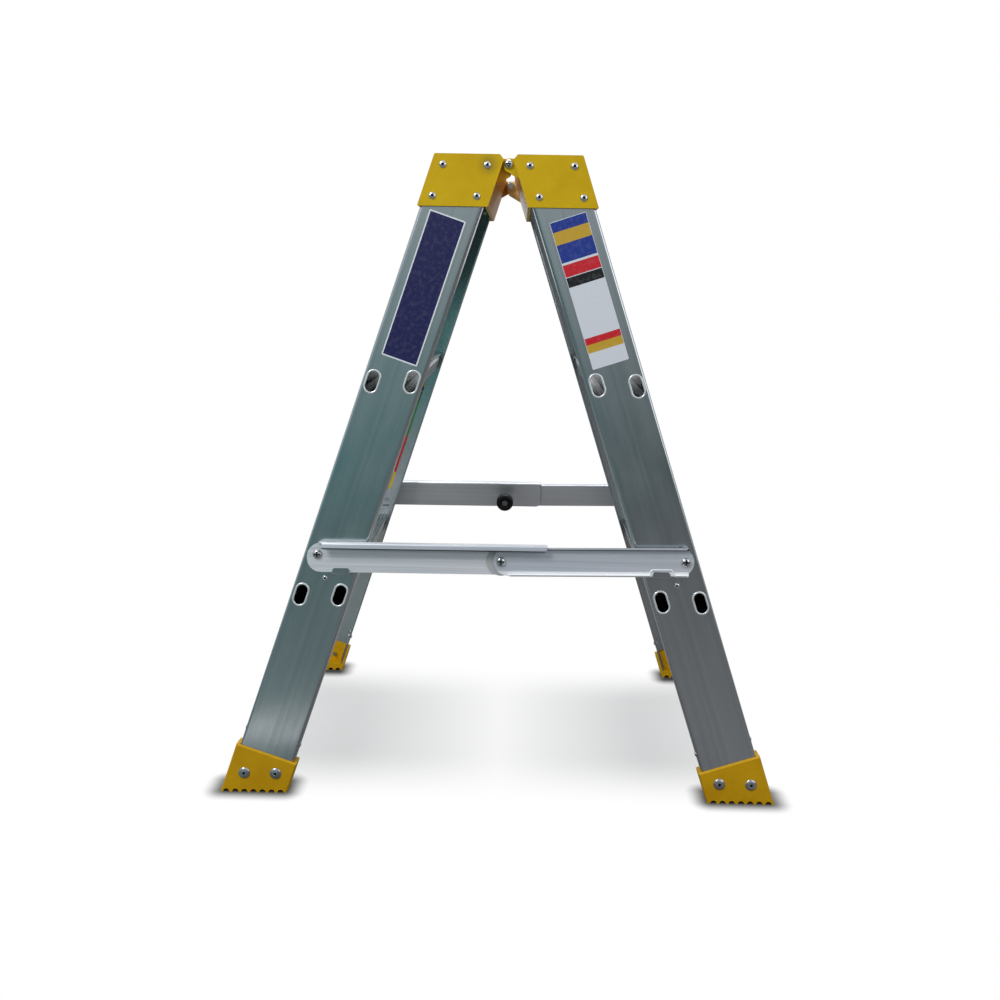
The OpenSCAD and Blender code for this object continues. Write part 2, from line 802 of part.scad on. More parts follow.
// The rounded end of a right bar
module right_bar_end() {
    half = right_bar_height / 2;
    intersection() {
        circle(half);
        translate([0, -half]) square([half, right_bar_height]);
    }
}

module right_bar() {
    half = right_bar_height / 2;
    start = right_start_set;
    finish = bar_length - right_end_set;
    at_mid() rotate(bar_tilt) translate([0, 0, right_bar_n]) difference() {
        union() {
            linear_extrude(bar_wall) {
                translate([start - overrun, bend_radius - half])
                    square([finish - start + 2 * overrun, right_bar_height - 2 * bend_radius]);
                translate([start, 0]) rotate(half_turn) right_bar_end();
                translate([finish, 0]) right_bar_end();
            }
            for (side = [0, 1])
                mirror([0, side, 0]) right_bar_edge(start, bar_length + right_flange_run);
        }
        bar_bore();
        translate([bar_length, 0, 0]) bar_bore();
        translate([tab_x - tab_width / 2 - notch_margin, -half - overrun, bar_wall])
            cube([tab_width + notch_margin + notch_pivot_margin, overrun + 2 * bend_radius, right_bar_flange]);
    }
}

module near_left_bar() color(bright) left_bar();

module far_left_bar() far_side() near_left_bar();

module near_right_bar() color(bright) right_bar();

module far_right_bar() far_side() near_right_bar();

// Middle pivot: screw, washer, stem and knob

module near_mid_screw() color(bright) at_mid() translate([0, 0, right_bar_n + bar_wall + slide_gap])
    pan_screw(pivot_head_d, pivot_head_height, pivot_screw_d,
        right_bar_n + bar_wall + slide_gap - left_bar_n + stem_d);

module far_mid_screw() far_side() near_mid_screw();

module near_mid_washer() color(nylon) at_mid() translate([0, 0, left_bar_n + bar_wall])
    ring(disc_d, pivot_screw_d + 2 * running_gap, washer_wall);

module far_mid_washer() far_side() near_mid_washer();

module near_knob_stem() {
    low = -stem_length - knob_depth + knob_socket;
    color(bright) at_mid() translate([0, 0, left_bar_n]) difference() {
        union() {
            translate([0, 0, -stem_length]) cylinder(d = stem_d, h = stem_length);
            translate([0, 0, low]) cylinder(d = stem_thread_d, h = knob_depth);
            translate([0, 0, low - knob_socket / 2]) cylinder(d = knob_insert_d, h = knob_socket / 2);
        }
        translate([0, 0, -stem_d - overrun])
            cylinder(d = pivot_screw_d + 2 * running_gap, h = stem_d + 2 * overrun);
    }
}

module far_knob_stem() far_side() near_knob_stem();

module near_knob() {
    bore = stem_thread_d / 2 + running_gap;
    color(black) at_mid() translate([0, 0, left_bar_n - stem_length]) rotate_extrude() polygon(rounded(
        [[bore, 0], [bore, -knob_depth + knob_socket], [knob_socket_d / 2, -knob_depth + knob_socket],
         [knob_socket_d / 2, -knob_depth], [knob_d / 2, -knob_depth], [knob_d / 2, 0]],
        [0, 0, 0, 0, knob_edge, knob_edge / 2]
    ));
}

module far_knob() far_side() near_knob();

// Stile pivots

module near_left_screw() color(bright) left_side() at_pivot() translate([0, 0, left_bar_n + bar_wall])
    pan_screw(pivot_head_d, pivot_head_height, pivot_screw_d, left_bar_n + bar_wall - slide_gap);

module far_left_screw() far_side() near_left_screw();

module near_left_spacer() color(nylon) left_side() at_pivot() translate([0, 0, slide_gap])
    ring(spacer_d, pivot_screw_d + 2 * running_gap, left_bar_n - slide_gap);

module far_left_spacer() far_side() near_left_spacer();

module left_pivot_nuts() color(bright) left_side() both_ends() at_pivot() {
    translate([0, 0, -stile_wall - nut_height])
        cylinder(d = nut_across / cos(half_turn / nut_sides), h = nut_height, $fn = nut_sides);
    translate([0, 0, -stile_wall - nut_height - bolt_tail])
        cylinder(d = pivot_screw_d, h = stile_wall + nut_height + bolt_tail);
}

module right_pivot_screws() color(bright) both_ends() at_pivot()
    translate([0, 0, right_bar_n + bar_wall + slide_gap])
    pan_screw(pivot_head_d, pivot_head_height, pivot_screw_d,
        right_bar_n + bar_wall + slide_gap + stile_wall + nut_height + bolt_tail);

module right_pivot_spacers() color(nylon) both_ends() at_pivot()
    ring(spacer_d, pivot_screw_d + 2 * running_gap, right_bar_n - slide_gap);

module right_pivot_nuts() color(bright) both_ends() at_pivot() translate([0, 0, -stile_wall - nut_height])
    hex_nut(nut_across, nut_height, pivot_screw_d + 2 * running_gap);

// Drawing
left_near_stile();
left_far_stile();
right_near_stile();
right_far_stile();
left_upper_tread();
left_lower_tread();
right_upper_tread();
right_lower_tread();
left_cap();
right_cap();
left_near_foot();
left_far_foot();
right_near_foot();
right_far_foot();
left_cap_rivets();
right_cap_rivets();
left_foot_rivets();
right_foot_rivets();
left_flange_rivets();
right_flange_rivets();
left_tab_rivets();
right_tab_rivets();
hinge_bolts();
hinge_washers();
hinge_nuts();
near_left_bar();
near_right_bar();
far_left_bar();
far_right_bar();
near_mid_screw();
far_mid_screw();
near_mid_washer();
far_mid_washer();
near_knob_stem();
far_knob_stem();
near_knob();
far_knob();
near_left_screw();
far_left_screw();
near_left_spacer();
far_left_spacer();
left_pivot_nuts();
right_pivot_screws();
right_pivot_spacers();
right_pivot_nuts();
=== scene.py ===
# %% [markdown]
# # A folding trestle ladder
# Two aluminium frames lean together under yellow plastic caps, and spreader bars on both ends keep them open.
# The imported frame brings the solids, each in its real place. This lesson softens their edges, gives each one the
# finish of its real material with painted light and shade on some of them, and adds the small things that a solid
# model leaves out.

# %% The imported frame
import json
import math

import bmesh
import bpy
from mathutils import Matrix, Vector
from mathutils.bvhtree import BVHTree


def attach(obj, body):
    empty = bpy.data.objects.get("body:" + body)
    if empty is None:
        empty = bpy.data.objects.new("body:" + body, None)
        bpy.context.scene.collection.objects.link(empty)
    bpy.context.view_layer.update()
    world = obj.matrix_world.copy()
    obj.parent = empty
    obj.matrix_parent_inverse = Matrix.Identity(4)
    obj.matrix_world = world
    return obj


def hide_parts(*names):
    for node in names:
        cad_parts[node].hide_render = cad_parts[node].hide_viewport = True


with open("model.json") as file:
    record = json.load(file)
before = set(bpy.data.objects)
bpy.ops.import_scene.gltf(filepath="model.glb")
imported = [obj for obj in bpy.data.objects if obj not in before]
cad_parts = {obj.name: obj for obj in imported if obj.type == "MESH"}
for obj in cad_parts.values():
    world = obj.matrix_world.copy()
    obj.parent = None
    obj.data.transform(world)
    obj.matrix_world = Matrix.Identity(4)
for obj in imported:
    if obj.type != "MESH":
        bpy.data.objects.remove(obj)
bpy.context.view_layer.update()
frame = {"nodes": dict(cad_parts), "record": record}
scene = bpy.context.scene
body_of = {}
for body, members in frame["record"]["behaviour"]["bodies"].items():
    for member in members:
        body_of[member] = body

# %% [markdown]
# ## Camera
# The photograph was taken from the front, a little above the caps and looking down at the feet. A camera can be
# turned by Euler angles, but three directions at right angles are easier to check: where it looks, what is up in
# the picture, and what is to the right.

# %% Camera
EYE, LENS, SENSOR = Vector((0.01648, -1.54984, 0.69445)), 37.43, 36
YAW, PITCH, ROLL = (math.radians(angle) for angle in (0.823, 11.964, 1.028))
UP = Vector((0, 0, 1))

ahead = Vector((-math.sin(YAW), math.cos(YAW), 0))
beside = Vector((math.cos(YAW), math.sin(YAW), 0))
look = ahead * math.cos(PITCH) - UP * math.sin(PITCH)
over = UP * math.cos(PITCH) + ahead * math.sin(PITCH)
picture_right = beside * math.cos(ROLL) + over * math.sin(ROLL)
picture_up = over * math.cos(ROLL) - beside * math.sin(ROLL)

camera_data = bpy.data.cameras.new("camera")
camera_data.lens = LENS
camera_data.sensor_width = SENSOR
camera = bpy.data.objects.new("camera", camera_data)
axes = Matrix((picture_right, picture_up, -look)).transposed()
camera.matrix_world = Matrix.Translation(EYE) @ axes.to_4x4()
scene.collection.objects.link(camera)
scene.camera = camera
scene.view_settings.view_transform = "Standard"
print("camera looks along", [round(part, 3) for part in look])

# %% [markdown]
# ## Node helpers
# Every finish below is a small tree of nodes. Two helpers keep the trees short: one adds a node and fills in its
# sockets, and the other turns the colour values of a paint card (0 to 255) into the linear values Blender mixes.


# %% Node helpers
def add_node(tree, kind, sockets=None, **settings):
    made = tree.nodes.new(kind)
    for setting, value in settings.items():
        setattr(made, setting, value)
    for socket, value in (sockets or {}).items():
        if isinstance(value, bpy.types.NodeSocket):
            tree.links.new(value, made.inputs[socket])
        else:
            made.inputs[socket].default_value = value
    return made


def paint(red, green, blue):
    linear = []
    for part in (red, green, blue):
        share = part / 255
        linear.append(share / 12.92 if share <= 0.04045 else ((share + 0.055) / 1.055) ** 2.4)
    return (*linear, 1)


# %% [markdown]
# ## Room
# A white studio is bright behind the object and above it, and darker behind the camera, where the room is. Polished
# metal shows that difference: the webs face the camera and look grey, while bends that face up look white. The world
# is therefore a mix by direction. What the camera sees directly is plain white.

# %% Room
FRONT_LEFT, FRONT_RIGHT = (0.15, 0.345, 0.345, 1), (0.125, 0.132, 0.14, 1)
BACK_WALL, CEILING, WHITE, ROOM_STRENGTH = (1.05, 1.06, 1.08, 1), (0.8, 0.83, 0.86, 1), (1, 1, 1, 1), 0.75
FADES = {"Y": (-0.55, 0.5), "Z": (0.02, 0.42), "X": (-0.2, 0.2)}

world = bpy.data.worlds.new("studio_room")
world.use_nodes = True
scene.world = world
room = world.node_tree
room.nodes.clear()
direction = add_node(room, "ShaderNodeTexCoord").outputs["Generated"]
parts = add_node(room, "ShaderNodeSeparateXYZ", {0: direction})


def between(tree, value, low, high, to_low=0, to_high=1):
    return add_node(tree, "ShaderNodeMapRange", {"Value": value, "From Min": low, "From Max": high,
                                                 "To Min": to_low, "To Max": to_high}).outputs[0]


def blended(tree, share, first, second):
    return add_node(tree, "ShaderNodeMix", {0: share, 6: first, 7: second}, data_type="RGBA").outputs[2]


depth, height, across = (between(room, parts.outputs[axis], *FADES[axis]) for axis in "YZX")
front = blended(room, across, FRONT_LEFT, FRONT_RIGHT)
walls = blended(room, depth, front, BACK_WALL)
ceiling = blended(room, height, walls, CEILING)
seen = add_node(room, "ShaderNodeLightPath")
room_light = add_node(room, "ShaderNodeBackground", {"Color": ceiling, "Strength": ROOM_STRENGTH})
white = add_node(room, "ShaderNodeBackground", {"Color": WHITE, "Strength": 1})
choice = add_node(room, "ShaderNodeMixShader",
                  {0: seen.outputs["Is Camera Ray"], 1: room_light.outputs[0], 2: white.outputs[0]})
add_node(room, "ShaderNodeOutputWorld", {"Surface": choice.outputs[0]})
print("room:", world.name)

# %% [markdown]
# ## Lamps
# Large area lamps give the soft shadows of a product photograph. The main lamp hangs over the left shoulder of the
# camera, a weaker one fills the right side, and one overhead draws the shadows under the feet.


# %% Lamps
def soft_lamp(name, place, target, size, power):
    data = bpy.data.lights.new(name, "AREA")
    data.shape = "DISK"
    data.size = size
    data.energy = power
    lamp = bpy.data.objects.new(name, data)
    lamp.location = place
    lamp.rotation_euler = (Vector(target) - Vector(place)).to_track_quat("-Z", "Y").to_euler()
    scene.collection.objects.link(lamp)
    return lamp


lamps = [
    soft_lamp("main_lamp", (-1.5, -1.7, 2.6), (0, 0, 0.45), 1.0, 48),
    soft_lamp("fill_lamp", (1.9, -1.6, 1.5), (0, 0, 0.4), 1.6, 9),
    soft_lamp("top_lamp", (0.1, 0.8, 2.5), (0, 0, 0.2), 1.5, 30),
]
print("lamps:", [lamp.name for lamp in lamps])

# %% [markdown]
# ## Floor
# The floor is plain white, with painted shade on it: a dark painted shadow round each foot where it stands at rest,
# and a faint painted shade under the two frames. There the camera sees the lit floor darkened by those masks, so the
# real shadows show in them too, and a steady white elsewhere. The four feet stand at the corners of a rectangle, so
# one corner serves for all of them once the signs of x and y are dropped. The front lamps leave the floor out, so
# that they don't bleach the shadow in front of the feet. What the metal mirrors is a grey floor, greener on the left,
# with a glowing white patch in front of the left foot that paints a bright reflection on the left web.

# %% Floor
FLOOR_SIZE = 12
FOOT_MIDDLE, FOOT_HALF, PAINTED_SHADOW_FADE = (0.334, 0.224, 0), (0.042, 0.014, 0), 0.032
CARD_LEFT, CARD_RIGHT, CARD_FRONT, CARD_BACK, CARD_FADE = -0.52, -0.32, -0.66, -0.52, 0.03
HAZE_DEPTH, HAZE_INNER, HAZE_OUTER = (0.26, 0.1), (-0.12, 0.24), (0.38, 0.3)
TINT_FADE, LEFT_TINT, RIGHT_TINT = (-0.45, -0.1), (0.23, 0.3, 0.295, 1), (0.285, 0.27, 0.27, 1)
PAINTED_HAZE_GREY, PAINTED_SHADOW_GREY = (0.34, 0.34, 0.34, 1), (0.17, 0.17, 0.17, 1)
PAINTED_HAZE_GLOW, CARD_GLOW = 0.48, 0.8

floor_mesh = bpy.data.meshes.new("floor")
shaping = bmesh.new()
bmesh.ops.create_grid(shaping, x_segments=1, y_segments=1, size=FLOOR_SIZE)
shaping.to_mesh(floor_mesh)
shaping.free()
floor = bpy.data.objects.new("floor", floor_mesh)
scene.collection.objects.link(floor)

floor_white = bpy.data.materials.new("floor_white")
floor_white.use_nodes = True
tree = floor_white.node_tree
tree.nodes.clear()
spot = add_node(tree, "ShaderNodeTexCoord").outputs["Object"]
folded = add_node(tree, "ShaderNodeVectorMath", {0: spot}, operation="ABSOLUTE")
from_foot = add_node(tree, "ShaderNodeVectorMath", {0: folded.outputs[0], 1: FOOT_MIDDLE}, operation="SUBTRACT")
off_middle = add_node(tree, "ShaderNodeVectorMath", {0: from_foot.outputs[0]}, operation="ABSOLUTE")
past = add_node(tree, "ShaderNodeVectorMath", {0: off_middle.outputs[0], 1: FOOT_HALF}, operation="SUBTRACT")
outside = add_node(tree, "ShaderNodeVectorMath", {0: past.outputs[0], 1: (0, 0, 0)}, operation="MAXIMUM")
away = add_node(tree, "ShaderNodeVectorMath", {0: outside.outputs[0]}, operation="LENGTH")
quadrant = add_node(tree, "ShaderNodeSeparateXYZ", {0: folded.outputs[0]})


def eased(tree, value, start, stop):
    return add_node(tree, "ShaderNodeMapRange", {"Value": value, "From Min": start, "From Max": stop},
                    interpolation_type="SMOOTHSTEP").outputs[0]


def product(tree, first, second):
    return add_node(tree, "ShaderNodeMath", {0: first, 1: second}, operation="MULTIPLY").outputs[0]


# Masks for the painted shadow round each foot at rest and the faint painted shade under the frames.
painted_shadow = eased(tree, away.outputs["Value"], PAINTED_SHADOW_FADE, 0)
in_depth = eased(tree, quadrant.outputs["Y"], *HAZE_DEPTH)
under_frame = product(tree, eased(tree, quadrant.outputs["X"], *HAZE_INNER),
                      eased(tree, quadrant.outputs["X"], *HAZE_OUTER))
painted_haze = product(tree, in_depth, under_frame)
flat = add_node(tree, "ShaderNodeSeparateXYZ", {0: spot})
tint = blended(tree, eased(tree, flat.outputs["X"], *TINT_FADE), LEFT_TINT, RIGHT_TINT)
lit = add_node(tree, "ShaderNodeBsdfDiffuse", {"Color": tint})
card_width = product(tree, eased(tree, flat.outputs["X"], CARD_LEFT - CARD_FADE, CARD_LEFT),
                     eased(tree, flat.outputs["X"], CARD_RIGHT + CARD_FADE, CARD_RIGHT))
card_depth = product(tree, eased(tree, flat.outputs["Y"], CARD_FRONT - CARD_FADE, CARD_FRONT),
                     eased(tree, flat.outputs["Y"], CARD_BACK + CARD_FADE, CARD_BACK))
# A glowing white patch, seen only in reflections, paints a bright reflection low on the left web.
card = add_node(tree, "ShaderNodeEmission", {"Color": WHITE, "Strength": CARD_GLOW})
mirrored = add_node(tree, "ShaderNodeMixShader",
                    {0: product(tree, card_width, card_depth), 1: lit.outputs[0], 2: card.outputs[0]})
# The greys mixed in by those masks are painted shade: a light grey under the frames and a dark grey round the feet.
dim = add_node(tree, "ShaderNodeBsdfDiffuse", {"Color": PAINTED_HAZE_GREY})
dark = add_node(tree, "ShaderNodeBsdfDiffuse", {"Color": PAINTED_SHADOW_GREY})
glow = add_node(tree, "ShaderNodeEmission", {"Color": WHITE, "Strength": PAINTED_HAZE_GLOW})
plain = add_node(tree, "ShaderNodeEmission", {"Color": WHITE, "Strength": 1})
hazy = add_node(tree, "ShaderNodeAddShader", {0: dim.outputs[0], 1: glow.outputs[0]})
under = add_node(tree, "ShaderNodeMixShader", {0: painted_haze, 1: plain.outputs[0], 2: hazy.outputs[0]})
shown = add_node(tree, "ShaderNodeMixShader", {0: painted_shadow, 1: under.outputs[0], 2: dark.outputs[0]})
seen = add_node(tree, "ShaderNodeLightPath")
surface = add_node(tree, "ShaderNodeMixShader",
                   {0: seen.outputs["Is Camera Ray"], 1: mirrored.outputs[0], 2: shown.outputs[0]})
add_node(tree, "ShaderNodeOutputMaterial", {"Surface": surface.outputs[0]})
floor_mesh.materials.append(floor_white)
left_out = bpy.data.collections.new("left_out_of_front_light")
left_out.objects.link(floor)
left_out.collection_objects[0].light_linking.link_state = "EXCLUDE"
for lamp in lamps[:2]:
    lamp.light_linking.receiver_collection = left_out
print("floor:", floor.dimensions[:2])

# %% [markdown]
# ## Finish: extruded aluminium
# The stiles, treads and bars are drawn through a die, which leaves fine lines along their length. The lines follow
# each piece, so the pattern reads a UV map named grain, whose first axis runs along the piece, in metres. A noise
# stretched along that axis gives the lines, a broad one the smudges of handling, and a sharp one a few scratches.


# %% Finish: extruded aluminium
def blank_finish(name, metal):
    material = bpy.data.materials.new(name)
    material.use_nodes = True
    shader = material.node_tree.nodes["Principled BSDF"]
    shader.inputs["Metallic"].default_value = metal
    return material, material.node_tree, shader


def stretched_noise(tree, coordinates, scale, detail, turn=0):
    laid = add_node(tree, "ShaderNodeMapping",
                    {"Vector": coordinates, "Rotation": (0, 0, math.radians(turn)), "Scale": scale})
    return add_node(tree, "ShaderNodeTexNoise",
                    {"Vector": laid.outputs[0], "Scale": 1, "Detail": detail, "Roughness": 0.6}).outputs[0]


FINE, COARSE, SCRATCHED = 2600, 620, paint(214, 218, 220)


def extruded_aluminium(name, dark, light, smooth, rough, line_depth, line_scale=FINE, metal=1):
    material, tree, shader = blank_finish(name, metal)
    grain = add_node(tree, "ShaderNodeUVMap", uv_map="grain").outputs[0]
    lines = stretched_noise(tree, grain, (4, line_scale, 1), 2)
    streaks = stretched_noise(tree, grain, (1.4, 150, 1), 3)
    smudges = stretched_noise(tree, grain, (11, 30, 1), 3)
    scratches = stretched_noise(tree, grain, (26, 1500, 1), 1, turn=31)
    tone = blended(tree, between(tree, streaks, 0.3, 0.7), dark, light)
    tone = blended(tree, between(tree, lines, 0.35, 0.75, 0, 0.3), tone, light)
    worn = blended(tree, between(tree, scratches, 0.75, 0.8, 0, 0.5), tone, SCRATCHED)
    tree.links.new(worn, shader.inputs["Base Color"])
    gloss = add_node(tree, "ShaderNodeMath", {0: between(tree, smudges, 0.3, 0.75, smooth, rough),
                                              1: between(tree, lines, 0.3, 0.7, -0.03, 0.04)}, operation="ADD")
    tree.links.new(gloss.outputs[0], shader.inputs["Roughness"])
    relief = add_node(tree, "ShaderNodeBump", {"Strength": 0.5, "Distance": line_depth, "Height": lines})
    tree.links.new(relief.outputs[0], shader.inputs["Normal"])
    return material


stile_aluminium = extruded_aluminium("stile_aluminium", paint(178, 186, 189), paint(196, 203, 206),
                                     0.16, 0.26, 0.00002)
# The next finish is a painted reflection with painted shade, for the insides of the left stiles.
reflection_shade_aluminium = extruded_aluminium("reflection_shade_aluminium", paint(96, 120, 120), paint(110, 134, 134),
                                     0.16, 0.26, 0.00002)
tread_aluminium = extruded_aluminium("tread_aluminium", paint(158, 166, 168), paint(184, 190, 192),
                                     0.22, 0.34, 0.00003)
# The next two finishes are a painted highlight on the flared rims and painted shade in the bores.
rim_highlight_aluminium = extruded_aluminium("rim_highlight_aluminium", paint(218, 222, 224), paint(234, 237, 238),
                                   0.24, 0.34, 0.00003, FINE, 0.55)
bore_shade_aluminium = extruded_aluminium("bore_shade_aluminium", paint(116, 124, 125), paint(136, 143, 144),
                                    0.1, 0.18, 0.00001)
bar_bright = extruded_aluminium("bar_bright", paint(206, 209, 217), paint(249, 251, 254),
                                0.34, 0.44, 0.00014, COARSE, 0.4)
bar_grey = extruded_aluminium("bar_grey", paint(178, 184, 196), paint(226, 230, 238),
                              0.32, 0.42, 0.00016, 520, 0.45)
# The next three finishes are painted light and shade for bands of the bars: a painted highlight, a mid painted shade
# and a deep painted shade.
highlight_aluminium = extruded_aluminium("highlight_aluminium", paint(240, 243, 247), paint(250, 251, 253),
                               0.3, 0.4, 0.00005, COARSE, 0.2)
mid_shade_aluminium = extruded_aluminium("mid_shade_aluminium", paint(196, 198, 202), paint(216, 218, 222),
                                    0.34, 0.46, 0.00005, FINE, 0.8)
deep_shade_aluminium = extruded_aluminium("deep_shade_aluminium", paint(84, 87, 90), paint(104, 107, 110), 0.24, 0.34, 0.00003)
print("aluminium finishes:", stile_aluminium.name, tread_aluminium.name, bar_bright.name, bar_grey.name)

# %% [markdown]
# ## Finish: moulded plastic
# The caps and feet are injection moulded, with a fine matt texture from the mould. Object coordinates are enough,
# because the texture has no direction. A broad noise shifts the tone a little, as colour paste does, and a sharp one
# leaves paler scuffs. A darker patch of painted shade lies on the left cap near the hinge.

# %% Finish: moulded plastic
SHADE_PATCH_PLACE, SHADE_PATCH_REACH, PATCH_SHADE = (-0.0265, -0.165, 0.838), 0.019, paint(96, 84, 40)


def moulded_plastic(name, dark, light, scuff, smooth, rough, texture_depth, shine=0.22, shade_patch=None):
    material, tree, shader = blank_finish(name, 0)
    shader.inputs["Specular IOR Level"].default_value = shine
    place = add_node(tree, "ShaderNodeTexCoord").outputs["Object"]
    texture = stretched_noise(tree, place, (1600, 1600, 1600), 2)
    swirl = stretched_noise(tree, place, (22, 22, 22), 5)
    scuffs = stretched_noise(tree, place, (60, 140, 420), 4, turn=40)
    tone = blended(tree, between(tree, swirl, 0.3, 0.7), dark, light)
    tone = blended(tree, between(tree, scuffs, 0.66, 0.8, 0, 0.5), tone, scuff)
    # A darker patch of painted shade near the hinge.
    if shade_patch:
        off = add_node(tree, "ShaderNodeVectorMath", {0: place, 1: shade_patch}, operation="DISTANCE").outputs["Value"]
        painted_shade_share = product(tree, eased(tree, off, SHADE_PATCH_REACH, 0), between(tree, swirl, 0.3, 0.62, 0.15, 0.75))
        tone = blended(tree, painted_shade_share, tone, PATCH_SHADE)
    tree.links.new(tone, shader.inputs["Base Color"])
    tree.links.new(between(tree, swirl, 0.3, 0.7, smooth, rough), shader.inputs["Roughness"])
    relief = add_node(tree, "ShaderNodeBump", {"Strength": 0.4, "Distance": texture_depth, "Height": texture})
    tree.links.new(relief.outputs[0], shader.inputs["Normal"])
    return material


cap_yellow = moulded_plastic("cap_yellow", paint(196, 156, 0), paint(210, 176, 6), paint(222, 192, 70),
                             0.4, 0.52, 0.00004, shade_patch=SHADE_PATCH_PLACE)
foot_yellow = moulded_plastic("foot_yellow", paint(186, 138, 0), paint(202, 156, 2), paint(214, 180, 60),
                              0.42, 0.55, 0.00004)
knob_black = moulded_plastic("knob_black", paint(10, 10, 11), paint(18, 18, 20), paint(48, 48, 50),
                             0.34, 0.5, 0.00003)
spacer_nylon = moulded_plastic("spacer_nylon", paint(216, 216, 212), paint(230, 230, 228), paint(238, 238, 236),
                               0.3, 0.4, 0.00002)
# The next finish is painted light: a brighter copy of the foot finish for the sockets.
socket_painted_light = moulded_plastic("socket_painted_light", paint(208, 152, 4), paint(224, 172, 14), paint(230, 198, 90),
                                0.42, 0.55, 0.00004)
# The next two finishes are painted shade on the left cap's inner sides and painted light on the right cap's.
left_skirt_painted_shade = moulded_plastic("left_skirt_painted_shade", paint(196, 124, 4), paint(208, 148, 16),
                                    paint(220, 184, 110), 0.34, 0.48, 0.00006, shine=0.24)
right_skirt_painted_light = moulded_plastic("right_skirt_painted_light", paint(230, 188, 108), paint(240, 208, 148),
                                     paint(244, 230, 200), 0.2, 0.34, 0.00006, shine=0.5)
disc_nylon = moulded_plastic("disc_nylon", paint(168, 170, 172), paint(184, 186, 188), paint(204, 206, 208),
                             0.3, 0.4, 0.00002)
print("plastic finishes:", cap_yellow.name, foot_yellow.name, knob_black.name, spacer_nylon.name, disc_nylon.name)

# %% [markdown]
# ## Finish: screws and rivets
# Screws are zinc plated and rivets are bright aluminium. Both are small, so what shows is the gleam on their domes.
# A cloudy noise breaks it up, as plating and handling do.


# %% Finish: screws and rivets
def bright_metal(name, dark, light, smooth, rough):
    material, tree, shader = blank_finish(name, 1)
    place = add_node(tree, "ShaderNodeTexCoord").outputs["Object"]
    clouds = stretched_noise(tree, place, (260, 260, 260), 2)
    tree.links.new(blended(tree, between(tree, clouds, 0.35, 0.7), dark, light), shader.inputs["Base Color"])
    tree.links.new(between(tree, clouds, 0.3, 0.7, smooth, rough), shader.inputs["Roughness"])
    relief = add_node(tree, "ShaderNodeBump", {"Strength": 0.3, "Distance": 0.00003, "Height": clouds})
    tree.links.new(relief.outputs[0], shader.inputs["Normal"])
    return material


screw_zinc = bright_metal("screw_zinc", paint(190, 192, 192), paint(214, 215, 214), 0.16, 0.26)
stem_zinc = bright_metal("stem_zinc", paint(112, 113, 114), paint(146, 147, 148), 0.14, 0.24)
rivet_grey = bright_metal("rivet_grey", paint(166, 168, 172), paint(188, 190, 194), 0.24, 0.32)
rivet_bright = bright_metal("rivet_bright", paint(206, 208, 210), paint(226, 228, 230), 0.2, 0.28)
# The next two finishes are painted shade: near black for rivet pins and holes, dark zinc for screw recesses.
pin_painted_shade = bright_metal("pin_painted_shade", paint(10, 10, 12), paint(22, 22, 26), 0.5, 0.65)
recess_painted_shade = bright_metal("recess_painted_shade", paint(44, 46, 48), paint(112, 114, 114), 0.2, 0.4)
print("small metal finishes:", screw_zinc.name, rivet_bright.name, pin_painted_shade.name)

# %% [markdown]
# ## Places on the stiles
# Each stile leans outward and its web leans inward. A matrix for each of the four corners carries a point from the
# stile's own axes (across the web from the hinge, up along the stile, outward from the web) into the model, so that
# a pattern or a sticker is laid out flat and lands on the leaning metal.

# %% Places on the stiles
MM = 0.001
LEAN, SPLAY = math.radians(18.3), math.radians(5.3)
HINGE_HEIGHT, HALF_WIDTH = 0.839, 0.1617
LEFT, RIGHT, NEAR, FAR = -1, 1, 1, -1
QUARTER, MIDDLE = math.pi / 2, 52.25 * MM


def web_axes(side, end):
    near_web = Matrix.Translation((0, -HALF_WIDTH, HINGE_HEIGHT)) @ Matrix.Rotation(QUARTER - SPLAY, 4, "X")
    return Matrix.Diagonal((side, end, 1, 1)) @ near_web


def stile_axes(side, end):
    return web_axes(side, end) @ Matrix.Rotation(LEAN, 4, "Z")


print("top of the right near web:", [round(part, 4) for part in stile_axes(RIGHT, NEAR) @ Vector((0.05, 0, 0))])

# %% [markdown]
# ## Softened edges
# No real edge is a knife edge: a cut extrusion is broken with a file and a moulding has small radii, and the thin
# line of light along an edge is what makes a render look solid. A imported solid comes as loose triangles, so a copy
# is welded first, its flat triangles are joined into whole faces, and then only the sharp edges are bevelled. The
# faces are shaded smooth with weighted normals, so flat faces stay flat.

# %% Softened edges
SHARP, FLAT, SMOOTH = math.radians(32), math.radians(0.4), math.radians(38)
WELD = 0.000004


def softened(mesh, width):
    shaping = bmesh.new()
    shaping.from_mesh(mesh)
    bmesh.ops.remove_doubles(shaping, verts=shaping.verts, dist=WELD)
    bmesh.ops.dissolve_limit(shaping, angle_limit=FLAT, verts=shaping.verts, edges=shaping.edges)
    sharp = [edge for edge in shaping.edges if len(edge.link_faces) == 2 and edge.calc_face_angle() > SHARP]
    if width and sharp:
        bmesh.ops.bevel(shaping, geom=sharp, offset=width, offset_type="OFFSET", segments=2, profile=0.5,
                        affect="EDGES", clamp_overlap=True, material=-1)
    bmesh.ops.triangulate(shaping, faces=[face for face in shaping.faces if len(face.verts) > 4])
    made = bpy.data.meshes.new(mesh.name)
    shaping.to_mesh(made)
    shaping.free()
    made.shade_smooth()
    made.set_sharp_from_angle(angle=SMOOTH)
    return made


def lay_grain(mesh, axes):
    """The grain map: along the piece first, then across and around it."""
    inverse = axes.inverted()
    grain = mesh.uv_layers.new(name="grain")
    for loop in mesh.loops:
        place = inverse @ mesh.vertices[loop.vertex_index].co
        grain.data[loop.index].uv = (place.x, place.y + place.z)


